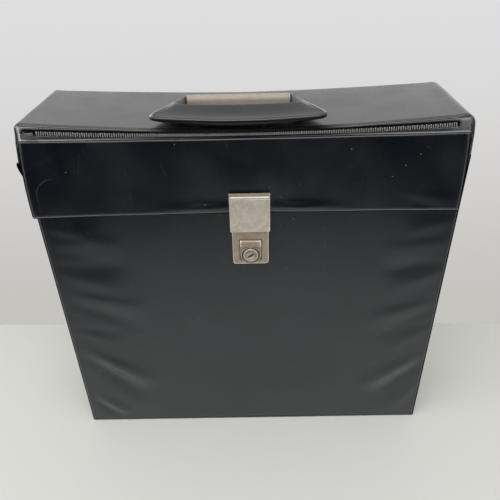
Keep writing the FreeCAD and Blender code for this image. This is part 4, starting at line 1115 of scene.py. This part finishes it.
def spline(values, share):
    """A smooth curve through evenly spaced values, at a share of its length."""
    place = share * (len(values) - 1)
    index = min(int(place), len(values) - 2)
    t = place - index
    before = values[max(index - 1, 0)]
    after = values[min(index + 2, len(values) - 1)]
    smooth = []
    for a, b, c, d in zip(before, values[index], values[index + 1], after):
        bend, twist = 2 * a - 5 * b + 4 * c - d, 3 * b - a - 3 * c + d
        smooth.append(0.5 * (2 * b + (c - a) * t + bend * t * t + twist * t ** 3))
    return smooth


def between(first, second, share):
    return [a + (b - a) * share for a, b in zip(first, second)]


def grip_section(width, foot, lip, crest, roll):
    """The top and front of the handle: pairs of a place inwards from its outer edge and a height, in mm."""
    rows = [(1.4, foot), (0.35, foot + 0.35), (0.0, foot + 1.2)]
    for index in range(ROLL_STEPS + 1):
        angle = math.pi / 2 * index / ROLL_STEPS
        rows.append((roll * (1 - math.cos(angle)), lip - roll + roll * math.sin(angle)))
    rows.append((roll + 0.45, lip - 0.3))
    start = roll + 0.9
    reach = width - 1.1 - start
    for index in range(ROLL_STEPS + 1):
        share = index / ROLL_STEPS
        rows.append((start + reach * share, lip - 0.1 + (crest - lip + 0.1) * share ** 2.1))
    return rows + [(width - 0.5, crest + 0.02), (width, crest - 0.3)]


def grip_ring(station):
    """The whole section at a station: over the top, down the inner wall and back under the belly, in mm."""
    outer, inner, base = station[0:2], station[2:4], station[4:6]
    foot, lip, crest, roll = station[6:]
    width = math.dist(outer, inner)
    belly = foot - 1.6
    places = []
    for inward, height in grip_section(width, foot, lip, crest, roll):
        places.append((*between(outer, inner, inward / width), height))
    for share in (0.25, 0.6, 0.9, 1.0):
        sink = 1 - (1 - share) ** 1.3
        places.append((*between(inner, base, share), crest - 0.3 + (belly + 0.9 - crest) * sink))
    for share in (0.03, 0.4):
        places.append((*between(base, outer, share), belly))
    return places


def handle():
    """The ring of sections from one hub over the front to the other, with painted highlights along both
    arms.
    """
    stations = list(GRIP_STATIONS)
    for station in reversed(GRIP_STATIONS[:-1]):
        stations.append([-value if index in GRIP_ACROSS else value for index, value in enumerate(station)])
    rings = [grip_ring(spline(stations, index / GRIP_STEPS)) for index in range(GRIP_STEPS + 1)]
    points = [HANDLE + Vector((x, y - GRIP_SKEW * x, z)) * MM for ring in rings for x, y, z in ring]
    size = len(rings[0])
    piece = add_piece("handle_moulding", points, tube_faces(size, len(rings)), 60)
    finish_piece(piece, GRIP_VINYL, "handle", "handle_vinyl", "handle_grip")

    def highlighted(face):
        """The outer bevel of both arms and the walls inside them, which take a painted highlight."""
        x, y, _ = (face.center - HANDLE) / MM
        outwards = face.normal.x * math.copysign(1, x)
        bevel = outwards > 0.25 and face.normal.z > 0.2 and y > FRONT_CORNER
        inner_wall = outwards < -0.15 and face.normal.z > 0.05 and y > INNER_CORNER and abs(x) < INNER_HALF
        return bevel or inner_wall

    def crest_line(face):
        """The line of painted highlight along the top of the outer bevel of both arms."""
        return face.index % size in CREST_ROWS and face.center.y > HANDLE.y + FRONT_CORNER * MM

    # painted highlight on the bevels and inner walls
    recolour(piece, HIGHLIGHT_VINYL, highlighted)
    recolour(piece, CREST_HIGHLIGHT_VINYL, crest_line)


# The hasp and the lock

LOCK_FRONT = low("lock_case").y
KEY = joint_place("key_turn")
BUTTON_TOP = high("latch_button").z
BUTTON_HALF = (high("latch_button").x - low("latch_button").x) / 2
BUTTON_GAP = 0.6 * MM
RIM_START, RIM_END = 0.5 * MM, 1.4 * MM


def hasp():
    """The cover plate with its grooved top edge, and the roll round the pin."""
    left, right = low("hasp_plate").x, high("hasp_plate").x
    front = low("hasp_plate").y
    pin = joint_place("hasp_swing")
    bottom, top = low("hasp_plate").z + 1.6 * MM, pin.z + 0.3 * MM
    half_width, half_height = (right - left) / 2, (top - bottom) / 2

    def relief(across, up):
        below = (half_height - up) / MM
        groove = -0.4 * bell(below - 2.1, 0.5) - 0.5 * bell(below - 0.2, 0.5)
        rim = 0.14 * bell((half_width - abs(across)) / MM - 1.1, 0.6)
        return (groove + rim) * MM

    plate = front_panel("hasp_face", (LATCH_X, front, bottom + half_height), half_width, half_height,
                        corner=1.0 * MM, edge=0.7 * MM, depth=1.1 * MM, step=0.9 * MM, relief=relief,
                        near_edge=in_mm(0.2, 0.5, 0.8, 1.1, 1.4, 1.8, 2.2))
    finish_piece(plate, NICKEL, "hasp", "nickel", "hasp_plate")
    # painted highlight on both side rims
    recolour(plate, RIM_HIGHLIGHT_NICKEL, lambda face: half_width - abs(face.center.x - LATCH_X) < 0.9 * MM)
    # painted highlight below the top edge
    recolour(plate, RIM_HIGHLIGHT_NICKEL, lambda face: 0.9 * MM < top - face.center.z < 1.7 * MM)
    # painted shade in the groove under the top edge
    recolour(plate, GRIME_AND_SHADE, lambda face: 2.1 * MM < top - face.center.z < 2.5 * MM)
    roll, ear, soft = 1.75 * MM, 0.4 * MM, 0.5 * MM
    length = right - left - 2 * ear
    bevel = [(roll - 2 * soft, 0), (roll - soft * 0.3, soft * 0.3), (roll, soft)]
    profile = bevel + [(radius, length - along) for radius, along in reversed(bevel)]
    sleeve = lathe("hasp_roll", profile, (left + ear, front + roll + 0.35 * MM, pin.z + 0.4 * MM), "x")
    # painted shade on the roll
    finish_piece(sleeve, SHADED_NICKEL, "hasp", "nickel")


def lock_tray():
    """The raised plate of the latch, hollow where the button slides."""
    left, right = low("lock_case").x, high("lock_case").x
    bottom, top = low("lock_case").z + 2.0 * MM, high("lock_case").z
    depth = high("lock_case").y - LOCK_FRONT
    half_width, half_height = (right - left) / 2, (top - bottom) / 2
    slot_low = low("latch_button").z + 3.5 * MM

    def relief(across, up):
        z = up + bottom + half_height
        x = abs(across) / MM
        hollow = -0.25 * smooth_step(-x, -9.9, -9.3) * smooth_step(z, slot_low - MM, slot_low)
        rim = 0.12 * bell(half_width / MM - x - 1.4, 0.7)
        return (hollow + rim) * MM

    def on_rim(face):
        across, up = half_width - abs(face.center.x - LATCH_X), face.center.z - bottom
        return RIM_START < across < RIM_END or RIM_START < up < RIM_END

    def round_button(face):
        across = abs(face.center.x - LATCH_X) - BUTTON_HALF
        return across < BUTTON_GAP and slot_low < face.center.z < BUTTON_TOP + BUTTON_GAP

    piece = front_panel("lock_face", (LATCH_X, LOCK_FRONT, bottom + half_height), half_width, half_height,
                        corner=2.8 * MM, edge=0.9 * MM, depth=depth, step=0.8 * MM, relief=relief)
    finish_piece(piece, LOCK_NICKEL, "case", "nickel", "lock_case")
    # painted highlight on the rim
    recolour(piece, RIM_HIGHLIGHT_NICKEL, on_rim)
    # painted shade in the gap round the button
    recolour(piece, SHADED_GAP_NICKEL, round_button)


def latch_button():
    """A plate with a round foot about the lock cylinder, and a ledge for the thumb along its top."""
    rise, soft = 0.9 * MM, 0.35 * MM
    turns = 24
    outline = [(-BUTTON_HALF, BUTTON_TOP - KEY.z), (BUTTON_HALF, BUTTON_TOP - KEY.z)]
    for index in range(turns + 1):
        angle = -math.pi * index / turns
        outline.append((BUTTON_HALF * math.cos(angle), BUTTON_HALF * math.sin(angle)))
    # How far behind the tray's face, and how far the outline has drawn in
    levels = ((0.05 * MM, 0), (-rise + soft, 0), (-rise + soft * 0.3, 0.3 * soft), (-rise, soft))
    points = []
    for along, inward in levels:
        scale = 1 - inward / BUTTON_HALF
        points += [Vector((KEY.x + x * scale, LOCK_FRONT + along, KEY.z + z * scale)) for x, z in outline]
    plate = add_piece("button_plate", points, tube_faces(len(outline), len(levels)))
    finish_piece(plate, LOCK_NICKEL, "latch_slide", "nickel", "latch_button")
    # painted shade on the sides behind the tray's face
    recolour(plate, SHADED_GAP_NICKEL, lambda face: face.center.y > LOCK_FRONT - rise + soft * 0.5)
    height = 5.8 * MM
    front = low("latch_button").y

    def relief(across, up):
        inside = smooth_step(BUTTON_HALF - abs(across), 0.9 * MM, 1.8 * MM)
        return -0.35 * MM * bell(up / MM - 0.9, 1.2) * inside

    ledge = front_panel("button_ledge", (KEY.x, front, BUTTON_TOP - height / 2), BUTTON_HALF, height / 2,
                        corner=1.3 * MM, edge=0.9 * MM, depth=LOCK_FRONT - rise - front, step=0.5 * MM,
                        relief=relief)
    finish_piece(ledge, LOCK_NICKEL, "latch_slide", "nickel")
    # painted highlight on both ends of the ledge
    recolour(ledge, RIM_HIGHLIGHT_NICKEL, lambda face: BUTTON_HALF - abs(face.center.x - KEY.x) < 1.3 * MM)
    # painted shadow along the foot of the ledge
    recolour(ledge, GRIME_AND_SHADE, lambda face: face.center.z < BUTTON_TOP - height + 0.5 * MM)


def lock_cylinder():
    """Rings round the key plug, with painted shade in their grooves and below the plug."""
    front = low("lock_cylinder").y
    depth = LOCK_FRONT - 0.8 * MM - front
    inner, outer = 3.55, 8.0
    # Radius and place behind the front, in mm, from the outer ring to the bore
    steps = ((outer, 0.75), (7.8, 0.6), (7.15, 0.6), (7.0, 0.9), (6.75, 0.9), (6.6, 0.25), (6.3, 0.0),
             (5.4, 0.0), (5.1, 0.25), (4.6, 0.3), (4.2, 0.1), (3.9, 0.05), (3.6, 0.3), (inner, 1.2))
    profile = [(inner * MM, depth), (outer * MM, depth)]
    profile += [(radius * MM, along * MM) for radius, along in steps]
    piece = lathe("cylinder_rings", profile, (KEY.x, front, KEY.z), "y", 72)
    finish_piece(piece, RING_NICKEL, "latch_slide", "nickel", "lock_cylinder")

    def from_centre(face):
        return math.hypot(face.center.x - KEY.x, face.center.z - KEY.z) / MM

    # painted shade in the rings' grooves
    recolour(piece, GRIME_AND_SHADE, lambda face: 6.6 < from_centre(face) < 7.85 or 4.2 < from_centre(face) < 4.6)
    # painted shade below the plug
    recolour(piece, SHADE_BLACK, lambda face: 3.6 < from_centre(face) < 4.6 and face.center.z < KEY.z - 3.9 * MM)


def key_plug():
    """A round plug with a slot cut across it, painted black as shade, turned a little from level."""
    front = low("key_plug").y + 0.2 * MM
    radius, soft = 3.45 * MM, 0.3 * MM
    slot_half, slot_thin, deep = 2.9 * MM, 1.0 * MM, 1.8 * MM
    turn = math.radians(35)
    count = 64
    tiny = 1e-9

    def ring(reach_at, along):
        """A ring of points round the key's axis, turned with the slot."""
        points = []
        for index in range(count):
            angle = 2 * math.pi * index / count
            reach = reach_at(angle)
            points.append(Vector((KEY.x + reach * math.cos(angle + turn), front + along,
                                  KEY.z + reach * math.sin(angle + turn))))
        return points

    def slot_reach(angle):
        return min(slot_half / max(abs(math.cos(angle)), tiny), slot_thin / max(abs(math.sin(angle)), tiny))

    points = []
    for inward, along in ((0, 2.4 * MM), (0, soft), (soft * 0.3, soft * 0.3), (soft, 0)):
        points += ring(lambda angle: radius - inward, along)
    points += ring(slot_reach, 0) + ring(slot_reach, deep)
    piece = add_piece("plug_face", points, tube_faces(count, len(points) // count))
    finish_piece(piece, RING_NICKEL, "key_plug", "nickel", "key_plug")

    def in_slot(face):
        from_centre = math.hypot(face.center.x - KEY.x, face.center.z - KEY.z)
        return face.center.y > front + 0.4 * MM and from_centre < slot_half

    # painted shade: the slot is black
    recolour(piece, SHADE_BLACK, in_slot)


# The stage, the lamps and the camera

TABLE_LINE = ((-306 * MM, 117 * MM), (307 * MM, 103 * MM))
TABLE_COLOUR = (0.62, 0.62, 0.59, 1)
TABLE_AHEAD_COLOUR = (0.72, 0.73, 0.71, 1)
TABLE_CENTRE = (0.05, 0.02, 0.0)
AHEAD_START, AHEAD_END = 0.02, -0.16
# Distance from the table's centre in metres, and brightness in reflections
TABLE_FADE = ((0.0, 0.62), (0.1, 0.66), (0.2, 0.76), (0.3, 0.72), (0.38, 0.63), (0.46, 0.5), (0.52, 0.36),
              (0.58, 0.22), (0.65, 0.12), (0.74, 0.08), (0.82, 0.04), (0.92, 0.02))
WALL_COLOURS = ((0.555, 0.545, 0.515, 1), (0.735, 0.73, 0.735, 1))
MIRRORED_WALL_COLOURS = ((0.8, 0.8, 0.8, 1), (1.02, 1.02, 1.02, 1))
ROOM_COLOURS = ((0.10, 0.10, 0.105, 1), (0.72, 0.72, 0.72, 1))
HORIZON_BLUR = 0.06
WALL_TOP, MIRRORED_WALL_FOOT = 0.42, 0.1
ROOM_REACH = 4.0


def stage_material(name, build):
    material = bpy.data.materials.new(name)
    material.use_nodes = True
    material.node_tree.nodes.clear()
    tree = NodeTree(material.node_tree)
    tree.node("ShaderNodeOutputMaterial", {"Surface": build(tree)})
    return material


def glossy_switch(tree, plain, mirrored):
    """One shader for what is seen and lit, another for what reflections find."""
    path = tree.node("ShaderNodeLightPath", {})
    inputs = {"Fac": path.outputs["Is Glossy Ray"], 1: plain, 2: mirrored}
    return tree.node("ShaderNodeMixShader", inputs).outputs["Shader"]


def glow(tree, colour):
    return tree.node("ShaderNodeEmission", {"Color": colour}).outputs["Emission"]


def table_shader(tree):
    """Pale and matt. For reflections it is a painted glow instead, which fades away from its middle as a
    table that ends does.
    """
    paper = tree.node("ShaderNodeBsdfDiffuse", {"Color": TABLE_COLOUR})
    place = tree.geometry("Position")
    distance = tree.node("ShaderNodeVectorMath", {0: place, 1: TABLE_CENTRE}, operation="DISTANCE")
    fade = tree.node("ShaderNodeValToRGB", {"Fac": distance.outputs["Value"]})
    stages = fade.color_ramp.elements
    while len(stages) < len(TABLE_FADE):
        stages.new(0.5)
    for stage_stop, (away, level) in zip(stages, TABLE_FADE):
        stage_stop.position = away
        stage_stop.color = (level, level * 1.02, level + 0.01, 1)
    ahead = tree.ramp(tree.part(place, "Y"), AHEAD_START, AHEAD_END, kind="LINEAR")
    mirrored = tree.mixed(ahead, TABLE_AHEAD_COLOUR, fade.outputs["Color"])
    return glossy_switch(tree, paper.outputs["BSDF"], glow(tree, mirrored))


def wall_shader(tree):
    """Glows from the front, darker towards its foot as painted shade, glows brighter for reflections, and
    shows nothing from behind.
    """
    height = tree.part(tree.geometry("Position"), "Z")
    seen = glow(tree, tree.mixed(tree.ramp(height, 0.0, WALL_TOP), *WALL_COLOURS))
    higher = tree.ramp(height, MIRRORED_WALL_FOOT, WALL_TOP)
    mirrored = glow(tree, tree.mixed(higher, *MIRRORED_WALL_COLOURS))
    clear = tree.node("ShaderNodeBsdfTransparent", {}).outputs["BSDF"]
    inputs = {"Fac": tree.geometry("Backfacing"), 1: glossy_switch(tree, seen, mirrored), 2: clear}
    return tree.node("ShaderNodeMixShader", inputs).outputs["Shader"]


def flat_stage(name, corners, shader):
    data = bpy.data.meshes.new(name)
    data.from_pydata(corners, [], [(0, 1, 2, 3)])
    data.materials.append(stage_material(name, shader))
    sheet = bpy.data.objects.new(name, data)
    SCENE.collection.objects.link(sheet)


def stage():
    left, right = -ROOM_REACH, ROOM_REACH
    corners = [(left, left, 0), (right, left, 0), (right, right, 0), (left, right, 0)]
    flat_stage("table_top", corners, table_shader)
    (x0, y0), (x1, y1) = TABLE_LINE
    slope = (y1 - y0) / (x1 - x0)
    feet = [(x, y0 + slope * (x - x0), 0) for x in (left, right)]
    heads = [(x, y, ROOM_REACH) for x, y, _ in reversed(feet)]
    flat_stage("wall_sheet", feet + heads, wall_shader)


# Name, place, size and power in watts
LAMPS = (
    ("ceiling_lamp", Vector((-0.15, -0.9, 1.9)), (2.2, 1.4), 26),
    ("left_lamp", Vector((-1.8, -0.4, 1.2)), (1.0, 1.0), 5),
)
LAMP_TARGET = Vector((0, 0, 0.15))


def lamps():
    for name, place, size, power in LAMPS:
        data = bpy.data.lights.new(name, "AREA")
        data.shape = "RECTANGLE"
        data.size, data.size_y = size
        data.energy = power
        light = bpy.data.objects.new(name, data)
        light.location = place
        light.rotation_mode = "QUATERNION"
        light.rotation_quaternion = (LAMP_TARGET - place).to_track_quat("-Z", "Y")
        SCENE.collection.objects.link(light)


def world():
    """A pale room above the table's level and a dark one below it."""
    sky = bpy.data.worlds.new("room")
    sky.use_nodes = True
    tree = NodeTree(sky.node_tree)
    height = tree.part(tree.node("ShaderNodeTexCoord", {}).outputs["Generated"], "Z")
    background = sky.node_tree.nodes["Background"]
    above = tree.ramp(height, -HORIZON_BLUR, HORIZON_BLUR)
    tree.fill(background.inputs["Color"], tree.mixed(above, *ROOM_COLOURS))
    tree.fill(background.inputs["Strength"], 1.0)
    SCENE.world = sky


CAMERA_PLACE = Vector((6.62 * MM, -426.36 * MM, 468.24 * MM))
CAMERA_PITCH = math.radians(32.958)
CAMERA_YAW = math.radians(-0.696)
CAMERA_ROLL = math.radians(1.4705)
FOCAL_PIXELS = 515.0
FRAME_PIXELS = 500.0
SENSOR = 36.0


def camera():
    """Looks down at the case, turned a little to the left and rolled a little."""
    data = bpy.data.cameras.new("camera")
    data.sensor_width = SENSOR
    data.lens = FOCAL_PIXELS / FRAME_PIXELS * SENSOR
    data.clip_start = 0.01
    level = Vector((math.cos(CAMERA_YAW), -math.sin(CAMERA_YAW), 0))
    forward = Vector((math.sin(CAMERA_YAW), math.cos(CAMERA_YAW), 0))
    ahead = forward * math.cos(CAMERA_PITCH) - Vector((0, 0, math.sin(CAMERA_PITCH)))
    down = ahead.cross(level)
    right = math.cos(CAMERA_ROLL) * level + math.sin(CAMERA_ROLL) * down
    below = -math.sin(CAMERA_ROLL) * level + math.cos(CAMERA_ROLL) * down
    holder = bpy.data.objects.new("camera", data)
    turn = Matrix((right, -below, -ahead)).transposed()
    holder.matrix_world = Matrix.Translation(CAMERA_PLACE) @ turn.to_4x4()
    SCENE.collection.objects.link(holder)
    SCENE.camera = holder


for make in (
    dress_nodes, case_front, case_back, case_sides, lid_top, lid_side_linings, vinyl_hinge,
    lid_band, zip_teeth, zip_tapes, zip_slider, zip_pull, flap, handle,
    hasp, lock_tray, latch_button, lock_cylinder, key_plug, stage, lamps, world, camera,
):
    make()

SCENE.view_settings.view_transform = "Standard"
